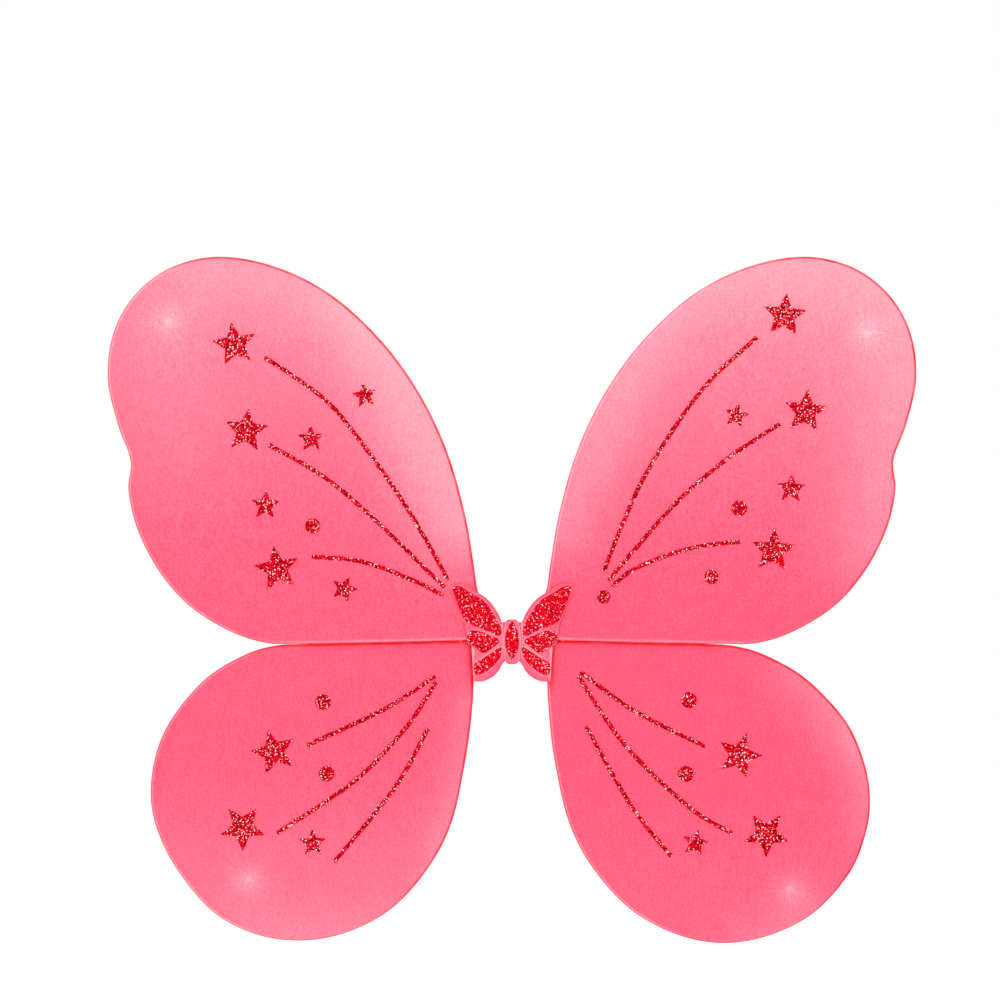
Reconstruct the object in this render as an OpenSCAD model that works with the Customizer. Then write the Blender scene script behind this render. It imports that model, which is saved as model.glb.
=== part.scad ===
// A pair of child's fairy wings: four wire loops in stretched mesh, a glitter butterfly patch in
// the middle, and a felt pad with two elastic arm loops behind it.
// X runs to the right, Z runs up, and the decorated face looks along -Y.
// The origin is the centre of the pad's rear face, which lies on the wearer's back.

/* [Wings] */
// Distance from the middle to the outer edge of an upper wing
upper_reach = 202; // [192:1:212]
// Height of the top of an upper wing above the middle
upper_rise = 191.5; // [182:0.5:201]
// Distance from the middle to the outer edge of a lower wing
lower_reach = 181; // [171:1:191]
// Depth of the bottom of a lower wing below the middle
lower_drop = 150.5; // [143:0.5:158]

/* [Wire and mesh] */
// Diameter of the frame wire
wire_d = 1.6; // [1.4:0.1:1.7]
// Thickness of one layer of the stretched mesh
mesh_t = 0.3; // [0.2:0.05:0.35]
// Thickness of the glitter printed on the mesh
print_t = 0.35; // [0.2:0.05:0.4]
// Width of the printed glitter lines
line_w = 2; // [1.2:0.1:2.4]

/* [Butterfly patch] */
// Thickness of the patch fabric
patch_t = 1; // [0.6:0.1:1.2]
// Thickness of the glitter on the patch
glitter_t = 0.5; // [0.3:0.1:0.6]

/* [Back pad] */
// Width of the felt pad
pad_w = 50; // [46:1:54]
// Height of the felt pad
pad_h = 17; // [15:0.5:17]
// Thickness of the rear felt layer
rear_felt_t = 1.4; // [1:0.1:1.6]
// Thickness of the front felt layer
front_felt_t = 2.4; // [2:0.1:2.5]

/* [Arm loops] */
// Width of the elastic
elastic_w = 6; // [5:0.5:6]
// Thickness of the elastic
elastic_t = 1; // [0.8:0.1:1]
// Depth of the bottom of a hanging loop below the middle
loop_drop = 102; // [92:1:112]

/* [Hidden] */

MESH_PINK = "#ff7d96";
PATCH_PINK = "#fa8ca4";
GLITTER_RED = "#e8183c";
WIRE_GREY = "#b8b8bc";
THREAD_PINK = "#ff5f80";
GLUE_CLEAR = "#f2e9d8";
FELT_PINK = "#ff6f92";
ELASTIC_WHITE = "#f4f0f0";

// Depths: a larger y is nearer the wearer
twist_y = -7;
play = 0.1;
lower_setback = 0.8;
cover_half = wire_d / 2 + play + mesh_t;
tie_t = 0.45;
upper_y = twist_y;
lower_y = twist_y + lower_setback;
patch_back = upper_y - 1.7;
patch_front = patch_back - patch_t;

// The crease beside the patch's body, where a wing folds forward
fold_x = 4.8;
fold_y = patch_front - glitter_t - play;
wing_start = 5;
mouth_x = 6;
wire_slack = 0.15;
curve_steps = 4;

// Edge of the upper right wing, from the bottom of its neck, out, up and back to the neck
UPPER_EDGE = [
    [mouth_x, 1.8], [22, 0.1], [60, -0.9], [104, -1.7], [123, -1.2], [141, 4.6], [161, 17], [176, 34],
    [187, 55], [191.6, 75], [190.6, 90], [197, 108], [202, 131], [199, 154], [188, 173],
    [170, 186.3], [146, 191.5], [118, 186.3], [90.7, 172.5], [66, 150], [47, 124], [33, 95],
    [24, 64], [19.4, 38], [17.2, 24], [12, 14.5], [mouth_x, 9.2]
];
UPPER_SIZE = [202, 191.5];

// Edges of the lower wings, from the bottom of the neck, down, out and back to the neck.
// The left one is listed as its mirror image. The right one hangs a little lower and narrower.
LEFT_LOWER_EDGE = [
    [mouth_x, -10.8], [14, -13.6], [19, -18.5], [19.9, -32], [23, -57], [30.3, -91],
    [43.5, -116], [64, -137], [92, -148.8], [121, -149], [147, -138], [166, -117], [177, -96],
    [180.6, -77], [177.6, -56], [169, -38], [153, -19.5], [134, -7.9], [119, -3.4], [104, -2.4],
    [80, -1.9], [50, -1.3], [26, -0.7], [21.7, -2.9], [19.4, -5.6], [14, -8.8], [mouth_x, -6.2]
];
RIGHT_LOWER_EDGE = [
    [mouth_x, -10.8], [13.4, -13.6], [17.4, -18.5], [18.3, -31], [21, -57], [28.6, -91],
    [42, -116], [63, -137.4], [91, -149.8], [119, -150.3], [148, -138.6], [168.4, -117], [177, -96],
    [178.9, -78], [175.6, -60], [166.3, -40], [147, -19.6], [127, -8], [112, -3.6], [97, -2.4],
    [74, -1.9], [50, -1.3], [26, -0.7], [21.7, -2.9], [19.4, -5.6], [14, -8.8], [mouth_x, -6.2]
];
LOWER_SIZE = [181, 150.5];

// Wings stretch beyond this corner only, so the parts near the patch keep their size
STRETCH_FROM = [34, 30];

// Stars as [x, z, radius, clockwise tilt], dots as [x, z, radius]
LEFT_UPPER_STARS = [
    [-138.7, 147.8, 10.5, -9], [-73.7, 122.3, 6, -9], [-132.9, 104.7, 10.5, 6],
    [-100.5, 100.6, 6.5, -2], [-123.3, 67.4, 7, 2], [-117.3, 35.5, 10.8, -10],
    [-83.8, 25.5, 6.5, 19]
];
LEFT_UPPER_DOTS = [[-99.7, 57, 3.8]];
LEFT_UPPER_LINES = [
    [[-123.7, 141.4], [-94.5, 121], [-77, 101], [-54.3, 68.8], [-37, 39.3], [-32.2, 29.8]],
    [[-121.6, 97.6], [-93, 80.8], [-66.4, 58.1], [-45, 37.3], [-33.8, 26.5]],
    [[-100.1, 41.6], [-75.7, 39.3], [-50.3, 30.2], [-34.2, 22.2]]
];
RIGHT_UPPER_STARS = [
    [136.4, 162.3, 10.5, 5], [112.2, 112.3, 6, 11], [146.9, 114.3, 10.5, 6],
    [139.6, 75.7, 7, 3], [130.6, 44.7, 10.5, 4]
];
RIGHT_UPPER_DOTS = [[113.6, 65.8, 3.9], [99.7, 31.5, 3.5], [45.9, 21.5, 3.3]];
RIGHT_UPPER_LINES = [
    [[122.6, 151.4], [99, 129.7], [80.3, 104.9], [64.3, 78.1], [50.9, 47.3], [46.2, 34.5]],
    [[133.9, 107.9], [109.8, 92.2], [84.3, 70.8], [60.3, 44], [48.5, 29.7]],
    [[113.9, 49.1], [89.7, 46], [63, 36.4], [50, 26.8]]
];
LEFT_LOWER_STARS = [
    [-119.1, -56, 10.8, -16], [-134.7, -93.9, 11, 36], [-99.7, -101.6, 6.5, -2]
];
LEFT_LOWER_DOTS = [[-94.4, -31.1, 3.9], [-92.7, -66.9, 3.9]];
LEFT_LOWER_LINES = [
    [[-38.5, -18.2], [-63.2, -34.3], [-102.6, -52.8]],
    [[-38.5, -22.8], [-54, -45.1], [-79.3, -71], [-117.5, -96.6]],
    [[-42.2, -44.5], [-58.6, -73.8], [-89, -111.1]]
];
RIGHT_LOWER_STARS = [
    [113.7, -57.8, 10.8, 18], [127.3, -97.2, 11, 36], [91.8, -101.6, 6.5, 11]
];
RIGHT_LOWER_DOTS = [[88.6, -30.2, 3.9], [87, -67, 3.9]];
RIGHT_LOWER_LINES = [
    [[35.5, -16.2], [60.9, -35.2], [96.6, -53.4]],
    [[34.1, -19.8], [56.4, -52.5], [88.8, -83.8], [110, -96.6]],
    [[37.1, -43.4], [59.8, -83.2], [79.5, -108.1]]
];
STAR_WAIST = 0.42;

// Patch fabric of the upper right wing: its round edge, then the step under the middle lobe
UPPER_PATCH_EDGE = [
    [wing_start, 9], [7.5, 14.4], [12, 20.2], [18, 24.3], [25, 28.2], [30.4, 27.4],
    [29.8, 22.8], [27.6, 18.2], [25.9, 13], [23.8, 8], [23.2, 3], [22.2, -1.7]
];
UPPER_PATCH_STEP = [[20, -2.4], [17.2, -5], [14, -7], [10, -5], [6.6, -2.2], [wing_start, -2.2]];

// Patch fabric of the lower right wing: its step under the middle lobe, then its round edge
LOWER_PATCH_STEP = [
    [wing_start, -2.8], [6.6, -3.1], [10, -5.6], [14, -7.6], [17.4, -5.6], [19.2, -3.6]
];
LOWER_PATCH_EDGE = [[19.2, -20.6], [14.5, -20.6], [9.6, -18.3], [6.6, -15.2], [wing_start, -12.2]];

// Glitter lobes of the right half of the patch
UPPER_LOBE = [
    [29.4, 26], [26, 26.4], [21.7, 23.8], [14, 19], [8.6, 11.4], [5.6, 4.6], [7, 2.4],
    [12.5, 5], [22, 9], [24.8, 13], [27.4, 19.4]
];
MIDDLE_LOBE = [
    [6.6, -0.4], [11.6, 2.2], [16.4, 4.1], [21, 4.1], [22.2, 1.2], [20.4, -1.7], [17.2, -4.1],
    [14.2, -6.2], [10.6, -4.2]
];
LOWER_LOBE = [
    [5.5, -4], [9.6, -6.3], [14, -9.2], [18.2, -11.6], [18.8, -15], [17.4, -17.1],
    [13.6, -15.8], [9.4, -12.4], [6.3, -8.6]
];

// Glue between the mesh and the patch fabric
UPPER_GLUE = [[10, 5], [13.5, 14], [20, 20], [24, 15], [19, 4]];
LOWER_GLUE = [[10, -8.8], [14, -10.2], [17.6, -8.8], [18, -15], [14, -12.4], [10, -10.8]];

// Body of the butterfly
body_half_w = 4.4;
body_half_h = 11.2;
body_z = -0.8;
body_glitter_half_w = 3.4;
body_glitter_half_h = 9.8;
body_glitter_z = -0.2;
body_patch_t = 0.8;
body_glitter_t = 0.6;
lens_steps = 12;
body_roundness = 0.22;
lens_roundness = 0.85;

// Twisted wires in the middle, with the stubs that run out to the creases
twist_r = 2.8;
twist_top = 9;
twist_bottom = -9.5;
binding_t = 0.4;
binding_top = 1.6;
binding_bottom = -5;
stub_end = fold_x - 0.2;
glue_half_w = 2.2;
glue_half_h = 5.4;

// Felt pad and the ends of the elastic that are sewn into it
pad_corner = 6;
felt_joint_y = -rear_felt_t;
pad_front_y = felt_joint_y - front_felt_t;
tab_x = 20;
tab_play = 0.1;
tab_in = 6;
tab_out = 1;
strap_y = felt_joint_y - elastic_t / 2;
stitch_l = 2.4;
stitch_w = 0.5;
stitch_t = 0.25;
stitch_pitch = 4;
stitch_inset = 1.6;
bartack_l = 4.4;

// Arm loop, as [outward, z], from above the pad, round the arm and back below the pad
loop_turn = 45;
loop_gap = 0.4;
loop_top = pad_h / 2 + tab_out + loop_gap;
LOOP = [
    [0, loop_top], [0.6, loop_top + 3.2], [6, loop_top + 7.4], [17, loop_top + 6.6],
    [30, -2], [42, -30], [47, -58], [44, -85], [33, -102], [20, -90], [11, -62], [4, -32],
    [0.3, -18], [0, -loop_top]
];
LOOP_DROP = 102;

// Point at the share t of the way from b to c, on a smooth curve through a, b, c and d
function curve_point(a, b, c, d, t) =
    (2 * b + (c - a) * t + (2 * a - 5 * b + 4 * c - d) * t * t + (3 * b - a - 3 * c + d) * t * t * t) / 2;

// Smooth open curve through the points
function smooth(points, steps = curve_steps) =
    let (last = len(points) - 1)
    concat(
        [
            for (i = [0:last - 1], s = [0:steps - 1])
                curve_point(
                    points[max(i - 1, 0)], points[i], points[i + 1], points[min(i + 2, last)], s / steps
                )
        ],
        [points[last]]
    );

// Smooth closed curve through the points
function smooth_loop(points, steps = curve_steps) =
    let (n = len(points))
    [
        for (i = [0:n - 1], s = [0:steps - 1])
            curve_point(
                points[(i + n - 1) % n], points[i], points[(i + 1) % n], points[(i + 2) % n], s / steps
            )
    ];

// Unit direction of a path at its point i
function direction(path, i) =
    let (step = path[min(i + 1, len(path) - 1)] - path[max(i - 1, 0)])
    step / norm(step);

// Path moved to its left by a gap, which is inwards on a path that runs anticlockwise
function moved_in(path, gap) =
    [for (i = [0:len(path) - 1]) let (d = direction(path, i)) path[i] + gap * [-d[1], d[0]]];

function reversed(path) = [for (i = [len(path) - 1:-1:0]) path[i]];

// One coordinate of a wing, stretched beyond the corner that stays
function stretched(value, from, k) =
    abs(value) < from ? value : sign(value) * (from + (abs(value) - from) * k);

// Point of a wing whose own size is full, on a wing of the size wanted
function sized(p, full, wanted) =
    [
        for (i = [0, 1])
            let (from = STRETCH_FROM[i])
            stretched(p[i], from, (wanted[i] - from) / (full[i] - from))
    ];

function upper_point(p) = sized(p, UPPER_SIZE, [upper_reach, upper_rise]);

function lower_point(p) = sized(p, LOWER_SIZE, [lower_reach, lower_drop]);

function upper_outline() = smooth([for (p = UPPER_EDGE) upper_point(p)]);

function lower_outline(edge) = smooth([for (p = edge) lower_point(p)]);

// Inside of a cover, which runs out through its mouth
function pocket(outline) =
    let (inner = moved_in(outline, mesh_t), last = len(inner) - 1, mouth = wing_start - 1)
    concat([[mouth, inner[0][1]]], inner, [[mouth, inner[last][1]]]);

// Middle line of the wire inside a cover, with a straight leg at each end
function wire_path(outline) =
    let (
        path = moved_in(outline, mesh_t + wire_slack + wire_d / 2),
        last = len(path) - 1
    )
    concat([[wing_start, path[0][1]]], path, [[wing_start, path[last][1]]]);

function star_points(star) =
    [
        for (k = [0:9])
            let (r = star[2] * (k % 2 == 0 ? 1 : STAR_WAIST), a = 90 - star[3] + 36 * k)
            [star[0] + r * cos(a), star[1] + r * sin(a)]
    ];

// Right half of a leaf shape, from its bottom tip to its top tip
function leaf_half(half_w, half_h, z, roundness) =
    [
        for (i = [-lens_steps:lens_steps])
            let (t = i / lens_steps)
            [half_w * pow(1 - t * t, roundness), z + half_h * t]
    ];

function leaf(half_w, half_h, z, roundness) =
    let (right = leaf_half(half_w, half_h, z, roundness), n = len(right))
    concat(right, [for (i = [n - 2:-1:1]) [-right[i][0], right[i][1]]]);

// Flat piece with its outline in X and Z
module plate(y_front, y_back) {
    translate([0, y_back, 0])
        rotate([90, 0, 0])
            linear_extrude(y_back - y_front)
                children();
}

module on_left() {
    mirror([1, 0, 0])
        children();
}

// Round wire along a path in X and Z
module wire_sweep(path, y) {
    sides = 8;
    rings = len(path);
    points = [
        for (i = [0:rings - 1], k = [0:sides - 1])
            let (d = direction(path, i), a = 360 * k / sides, r = wire_d / 2)
            [path[i][0] - d[1] * r * cos(a), y + r * sin(a), path[i][1] + d[0] * r * cos(a)]
    ];
    walls = [
        for (i = [0:rings - 2], k = [0:sides - 1])
            let (a = i * sides + k, b = i * sides + (k + 1) % sides)
            [a, b, b + sides, a + sides]
    ];
    start_cap = [for (k = [sides - 1:-1:0]) k];
    end_cap = [for (k = [0:sides - 1]) (rings - 1) * sides + k];
    polyhedron(points, concat([start_cap], walls, [end_cap]));
}

module wing_wire(outline, y) {
    color(WIRE_GREY)
        wire_sweep(wire_path(outline), y);
}

// Bag of two mesh layers, joined round the edge and open at the neck
module wing_mesh(outline, y) {
    color(MESH_PINK)
        difference() {
            plate(y - cover_half, y + cover_half)
                polygon(outline);
            plate(y - cover_half + mesh_t, y + cover_half - mesh_t)
                polygon(pocket(outline));
        }
}

// Thread wound round the neck of a cover
module root_tie(outline, y) {
    tie_start = mouth_x + 1;
    tie_w = 2;
    tie_half_h = 14;
    last = len(outline) - 1;
    grown = concat(
        [[wing_start, outline[0][1]]],
        moved_in(outline, -tie_t),
        [[wing_start, outline[last][1]]]
    );
    color(THREAD_PINK)
        difference() {
            intersection() {
                plate(y - cover_half - tie_t, y + cover_half + tie_t)
                    polygon(grown);
                translate([tie_start, y - 3, -tie_half_h])
                    cube([tie_w, 6, 2 * tie_half_h]);
            }
            plate(y - cover_half, y + cover_half)
                polygon(outline);
        }
}

// Glitter stars, dots and lines on the front of a wing
module glitter_print(stars, dots, lines, y) {
    front = y - cover_half;
    color(GLITTER_RED)
        plate(front - print_t, front) {
            for (star = stars)
                polygon(star_points(star));
            for (dot = dots)
                translate([dot[0], dot[1]])
                    circle(r = dot[2], $fn = 32);
            for (line = lines)
                let (path = smooth(line))
                    polygon(concat(moved_in(path, line_w / 2), reversed(moved_in(path, -line_w / 2))));
        }
}

module upper_glitter(stars, dots, lines) {
    glitter_print(
        [for (s = stars) concat(upper_point(s), [s[2], s[3]])],
        [for (d = dots) concat(upper_point(d), [d[2]])],
        [for (line = lines) [for (p = line) upper_point(p)]],
        upper_y
    );
}

module lower_glitter(stars, dots, lines) {
    glitter_print(
        [for (s = stars) concat(lower_point(s), [s[2], s[3]])],
        [for (d = dots) concat(lower_point(d), [d[2]])],
        [for (line = lines) [for (p = line) lower_point(p)]],
        lower_y
    );
}

module upper_patch() {
    color(PATCH_PINK)
        plate(patch_front, patch_back)
            polygon(concat(reversed(smooth(UPPER_PATCH_EDGE)), reversed(UPPER_PATCH_STEP)));
}

module upper_patch_glitter() {
    color(GLITTER_RED)
        plate(patch_front - glitter_t, patch_front) {
            polygon(smooth_loop(UPPER_LOBE));
            polygon(smooth_loop(MIDDLE_LOBE));
        }
}

module upper_patch_glue() {
    color(GLUE_CLEAR)
        plate(patch_back, upper_y - cover_half)
            polygon(smooth_loop(UPPER_GLUE));
}

module lower_patch() {
    color(PATCH_PINK)
        plate(patch_front, patch_back)
            polygon(concat(LOWER_PATCH_STEP, smooth(LOWER_PATCH_EDGE)));
}

module lower_patch_glitter() {
    color(GLITTER_RED)
        plate(patch_front - glitter_t, patch_front)
            polygon(smooth_loop(LOWER_LOBE));
}

module lower_patch_glue() {
    color(GLUE_CLEAR)
        plate(patch_back, lower_y - cover_half)
            polygon(smooth_loop(LOWER_GLUE));
}

module left_upper_wire() { on_left() wing_wire(upper_outline(), upper_y); }
module left_upper_mesh() { on_left() wing_mesh(upper_outline(), upper_y); }
module left_upper_glitter() { upper_glitter(LEFT_UPPER_STARS, LEFT_UPPER_DOTS, LEFT_UPPER_LINES); }
module left_upper_root_tie() { on_left() root_tie(upper_outline(), upper_y); }
module left_upper_patch() { on_left() upper_patch(); }
module left_upper_patch_glitter() { on_left() upper_patch_glitter(); }
module left_upper_patch_glue() { on_left() upper_patch_glue(); }

module left_lower_wire() { on_left() wing_wire(lower_outline(LEFT_LOWER_EDGE), lower_y); }
module left_lower_mesh() { on_left() wing_mesh(lower_outline(LEFT_LOWER_EDGE), lower_y); }
module left_lower_glitter() { lower_glitter(LEFT_LOWER_STARS, LEFT_LOWER_DOTS, LEFT_LOWER_LINES); }
module left_lower_root_tie() { on_left() root_tie(lower_outline(LEFT_LOWER_EDGE), lower_y); }
module left_lower_patch() { on_left() lower_patch(); }
module left_lower_patch_glitter() { on_left() lower_patch_glitter(); }
module left_lower_patch_glue() { on_left() lower_patch_glue(); }

module right_upper_wire() { wing_wire(upper_outline(), upper_y); }
module right_upper_mesh() { wing_mesh(upper_outline(), upper_y); }
module right_upper_glitter() { upper_glitter(RIGHT_UPPER_STARS, RIGHT_UPPER_DOTS, RIGHT_UPPER_LINES); }
module right_upper_root_tie() { root_tie(upper_outline(), upper_y); }
module right_upper_patch() { upper_patch(); }
module right_upper_patch_glitter() { upper_patch_glitter(); }
module right_upper_patch_glue() { upper_patch_glue(); }

module right_lower_wire() { wing_wire(lower_outline(RIGHT_LOWER_EDGE), lower_y); }
module right_lower_mesh() { wing_mesh(lower_outline(RIGHT_LOWER_EDGE), lower_y); }
module right_lower_glitter() { lower_glitter(RIGHT_LOWER_STARS, RIGHT_LOWER_DOTS, RIGHT_LOWER_LINES); }
module right_lower_root_tie() { root_tie(lower_outline(RIGHT_LOWER_EDGE), lower_y); }
module right_lower_patch() { lower_patch(); }
module right_lower_patch_glitter() { lower_patch_glitter(); }
module right_lower_patch_glue() { lower_patch_glue(); }

// Upright column of the cylinders' own size on the line of the twisted wires
module twist_column(r, bottom, top) {
    translate([0, twist_y, bottom])
        cylinder(h = top - bottom, r = r, $fn = 48);
}

// Straight wire that crosses the twist at one height, out to both creases
module stub(path, i, y) {
    translate([-stub_end, y, path[i][1]])
        rotate([0, 90, 0])
            cylinder(h = 2 * stub_end, d = wire_d, $fn = 24);
}

module core_wire_twist() {
    upper = wire_path(upper_outline());
    lower = wire_path(lower_outline(LEFT_LOWER_EDGE));
    color(WIRE_GREY)
        union() {
            twist_column(twist_r, twist_bottom, twist_top);
            stub(upper, 0, upper_y);
            stub(upper, len(upper) - 1, upper_y);
            stub(lower, 0, lower_y);
            stub(lower, len(lower) - 1, lower_y);
        }
}

module core_binding() {
    color(THREAD_PINK)
        difference() {
            twist_column(twist_r + binding_t, binding_bottom, binding_top);
            twist_column(twist_r, binding_bottom - 1, binding_top + 1);
        }
}

// Block of glue between two depths, shaped round the bound wires
module glue_block(y_front, y_back) {
    color(GLUE_CLEAR)
        difference() {
            translate([-glue_half_w, y_front, -glue_half_h])
                cube([2 * glue_half_w, y_back - y_front, 2 * glue_half_h]);
            twist_column(twist_r, twist_bottom, twist_top);
            twist_column(twist_r + binding_t, binding_bottom, binding_top);
        }
}

module front_glue() { glue_block(fold_y, twist_y - 1.6); }
module rear_glue() { glue_block(twist_y + 1.8, pad_front_y); }

module patch_body() {
    color(PATCH_PINK)
        plate(fold_y - body_patch_t, fold_y)
            polygon(leaf(body_half_w, body_half_h, body_z, body_roundness));
}

module patch_body_glitter() {
    front = fold_y - body_patch_t;
    color(GLITTER_RED)
        plate(front - body_glitter_t, front)
            polygon(leaf(body_glitter_half_w, body_glitter_half_h, body_glitter_z, lens_roundness));
}

module pad_outline() {
    half_w = pad_w / 2 - pad_corner;
    half_h = pad_h / 2 - pad_corner;
    union() {
        square([pad_w, 2 * half_h], center = true);
        square([2 * half_w, pad_h], center = true);
        for (x = [-half_w, half_w], z = [-half_h, half_h])
            translate([x, z])
                circle(r = pad_corner, $fn = 48);
    }
}

// The four sewn ends of the elastic, at the top and bottom of the pad on both sides
module tab_blocks(grown) {
    for (side = [-1, 1], end = [-1, 1])
        translate([side * tab_x, strap_y, end * (pad_h / 2 - (tab_in - tab_out) / 2)])
            cube([elastic_w + 2 * grown, elastic_t, tab_in + tab_out + 2 * grown], center = true);
}

module back_pad() {
    color(FELT_PINK)
        plate(felt_joint_y, 0)
            pad_outline();
}

module pad_front_felt() {
    color(FELT_PINK)
        difference() {
            plate(pad_front_y, felt_joint_y)
                pad_outline();
            tab_blocks(tab_play);
        }
}

module strap_tabs() {
    color(ELASTIC_WHITE)
        tab_blocks(0);
}

// Stitches round the front of the pad: a row above and below, and a row at each end
module pad_stitching() {
    row_x = pad_w / 2 - pad_corner;
    row_z = pad_h / 2 - stitch_inset;
    end_x = pad_w / 2 - stitch_inset;
    color(THREAD_PINK)
        plate(pad_front_y - stitch_t, pad_front_y) {
            for (x = [-row_x + stitch_l / 2:stitch_pitch:row_x], side = [-1, 1])
                translate([x, side * row_z])
                    square([stitch_l, stitch_w], center = true);
            for (side = [-1, 1])
                translate([side * end_x, 0])
                    square([stitch_w, stitch_l], center = true);
        }
}

// Two short bars of thread over each sewn end of the elastic
module strap_bartacks() {
    first_bar = 3;
    second_bar = 4.6;
    color(ELASTIC_WHITE)
        plate(pad_front_y - stitch_t, pad_front_y)
            for (side = [-1, 1], end = [-1, 1], bar = [first_bar, second_bar])
                translate([side * tab_x, end * (pad_h / 2 - bar)])
                    square([bartack_l, stitch_w], center = true);
}

// Loop of elastic for the right arm, turned outwards from straight back
module arm_loop() {
    k = loop_drop / LOOP_DROP;
    path = smooth([for (p = LOOP) p[1] < -loop_top ? [p[0], -loop_top + (p[1] + loop_top) * k] : p]);
    band = concat(moved_in(path, elastic_t / 2), reversed(moved_in(path, -elastic_t / 2)));
    color(ELASTIC_WHITE)
        translate([tab_x, strap_y, 0])
            rotate([0, 0, 90 - loop_turn])
                plate(-elastic_w / 2, elastic_w / 2)
                    polygon(band);
}

module left_strap() { on_left() arm_loop(); }
module right_strap() { arm_loop(); }

left_upper_wire();
left_upper_mesh();
left_upper_glitter();
left_upper_root_tie();
left_upper_patch();
left_upper_patch_glitter();
left_upper_patch_glue();
left_lower_wire();
left_lower_mesh();
left_lower_glitter();
left_lower_root_tie();
left_lower_patch();
left_lower_patch_glitter();
left_lower_patch_glue();
right_upper_wire();
right_upper_mesh();
right_upper_glitter();
right_upper_root_tie();
right_upper_patch();
right_upper_patch_glitter();
right_upper_patch_glue();
right_lower_wire();
right_lower_mesh();
right_lower_glitter();
right_lower_root_tie();
right_lower_patch();
right_lower_patch_glitter();
right_lower_patch_glue();
core_wire_twist();
core_binding();
front_glue();
rear_glue();
patch_body();
patch_body_glitter();
pad_front_felt();
back_pad();
pad_stitching();
strap_tabs();
strap_bartacks();
left_strap();
right_strap();
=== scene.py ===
"""Looks of a pair of child's fairy wings.

Stretch mesh over wire loops, printed glitter, a butterfly patch, a felt pad and elastic arm loops.
Lengths are in millimetres in this script and become metres where a piece is made.
X runs to the right, Z runs up and the decorated face looks along -Y. Outlines are listed for the
right-hand side and mirrored for the left one.
"""

import math

import bpy
import numpy as np
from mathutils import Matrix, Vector, noise
from mathutils.geometry import delaunay_2d_cdt


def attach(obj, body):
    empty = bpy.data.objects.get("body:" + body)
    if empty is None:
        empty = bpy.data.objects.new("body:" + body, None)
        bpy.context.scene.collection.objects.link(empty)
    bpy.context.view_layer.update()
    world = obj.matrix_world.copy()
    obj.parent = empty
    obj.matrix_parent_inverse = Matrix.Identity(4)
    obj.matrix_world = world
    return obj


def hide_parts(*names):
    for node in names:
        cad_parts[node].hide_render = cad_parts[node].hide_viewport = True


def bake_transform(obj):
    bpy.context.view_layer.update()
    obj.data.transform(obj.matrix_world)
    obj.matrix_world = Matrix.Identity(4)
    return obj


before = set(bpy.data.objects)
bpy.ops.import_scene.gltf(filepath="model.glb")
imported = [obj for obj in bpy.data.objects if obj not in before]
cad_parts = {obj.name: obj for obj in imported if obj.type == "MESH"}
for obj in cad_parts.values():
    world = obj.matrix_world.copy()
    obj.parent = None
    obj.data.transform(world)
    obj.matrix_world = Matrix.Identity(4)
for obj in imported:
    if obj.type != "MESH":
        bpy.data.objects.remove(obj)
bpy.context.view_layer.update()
MM = 0.001

# ---------------------------------------------------------------- the object's own numbers

# Depths, from the front, which is negative, to the pad's rear face at 0
BODY_FRONT, BODY_BACK = -11.1, -10.3
PATCH_FRONT, PATCH_BACK = -9.7, -8.7
UPPER_Y, LOWER_Y, BUNDLE_Y = -7.0, -6.2, -7.0
PAD_FRONT, FELT_JOINT, STRAP_Y = -3.8, -1.4, -1.9

# Distances from the middle to the covers' necks and to the sewn ends of the elastic
NECK_X, STRAP_X = 6.0, 20.0

# The wire's radius, how far its middle lies within the cover's edge, and half the cover's
# thickness over the wire and where it is stretched flat
WIRE_R, WIRE_INSET = 0.8, 1.25
COVER_HALF, COVER_TAUT = 1.2, 0.86

# Edges of the covers, from the bottom of the neck, round the wing and back to the neck
UPPER_EDGE = [
    (6, 1.8), (22, 0.1), (60, -0.9), (104, -1.7), (123, -1.2), (141, 4.6), (161, 17), (176, 34),
    (187, 55), (191.6, 75), (190.6, 90), (197, 108), (202, 131), (199, 154), (188, 173),
    (170, 186.3), (146, 191.5), (118, 186.3), (90.7, 172.5), (66, 150), (47, 124), (33, 95),
    (24, 64), (19.4, 38), (17.2, 24), (12, 14.5), (6, 9.2),
]
LOWER_SHOULDER = [(50, -1.2), (27, -0.65), (21.8, -1.15), (19.2, -4.4), (14, -8.8), (6, -6.2)]
LEFT_LOWER_EDGE = [
    (6, -10.8), (14, -13.6), (19, -18.5), (19.9, -32), (23, -57), (30.3, -91),
    (43.5, -116), (64, -137), (92, -148.8), (121, -149), (147, -138), (166, -117), (177, -96),
    (180.6, -77), (177.6, -56), (169, -38), (153, -19.5), (134, -7.9), (119, -3.2), (104, -2.3),
    (80, -1.85), *LOWER_SHOULDER,
]
RIGHT_LOWER_EDGE = [
    (6, -10.8), (13.4, -13.6), (17.4, -18.5), (18.3, -31), (21, -57), (28.6, -91),
    (42, -116), (63, -137.4), (91, -149.8), (119, -150.3), (148, -138.6), (168.4, -117), (177, -96),
    (178.9, -78), (175.6, -60), (166.3, -40), (147, -19.6), (127, -8), (112, -3.4), (97, -2.2),
    (74, -1.75), *LOWER_SHOULDER,
]

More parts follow.
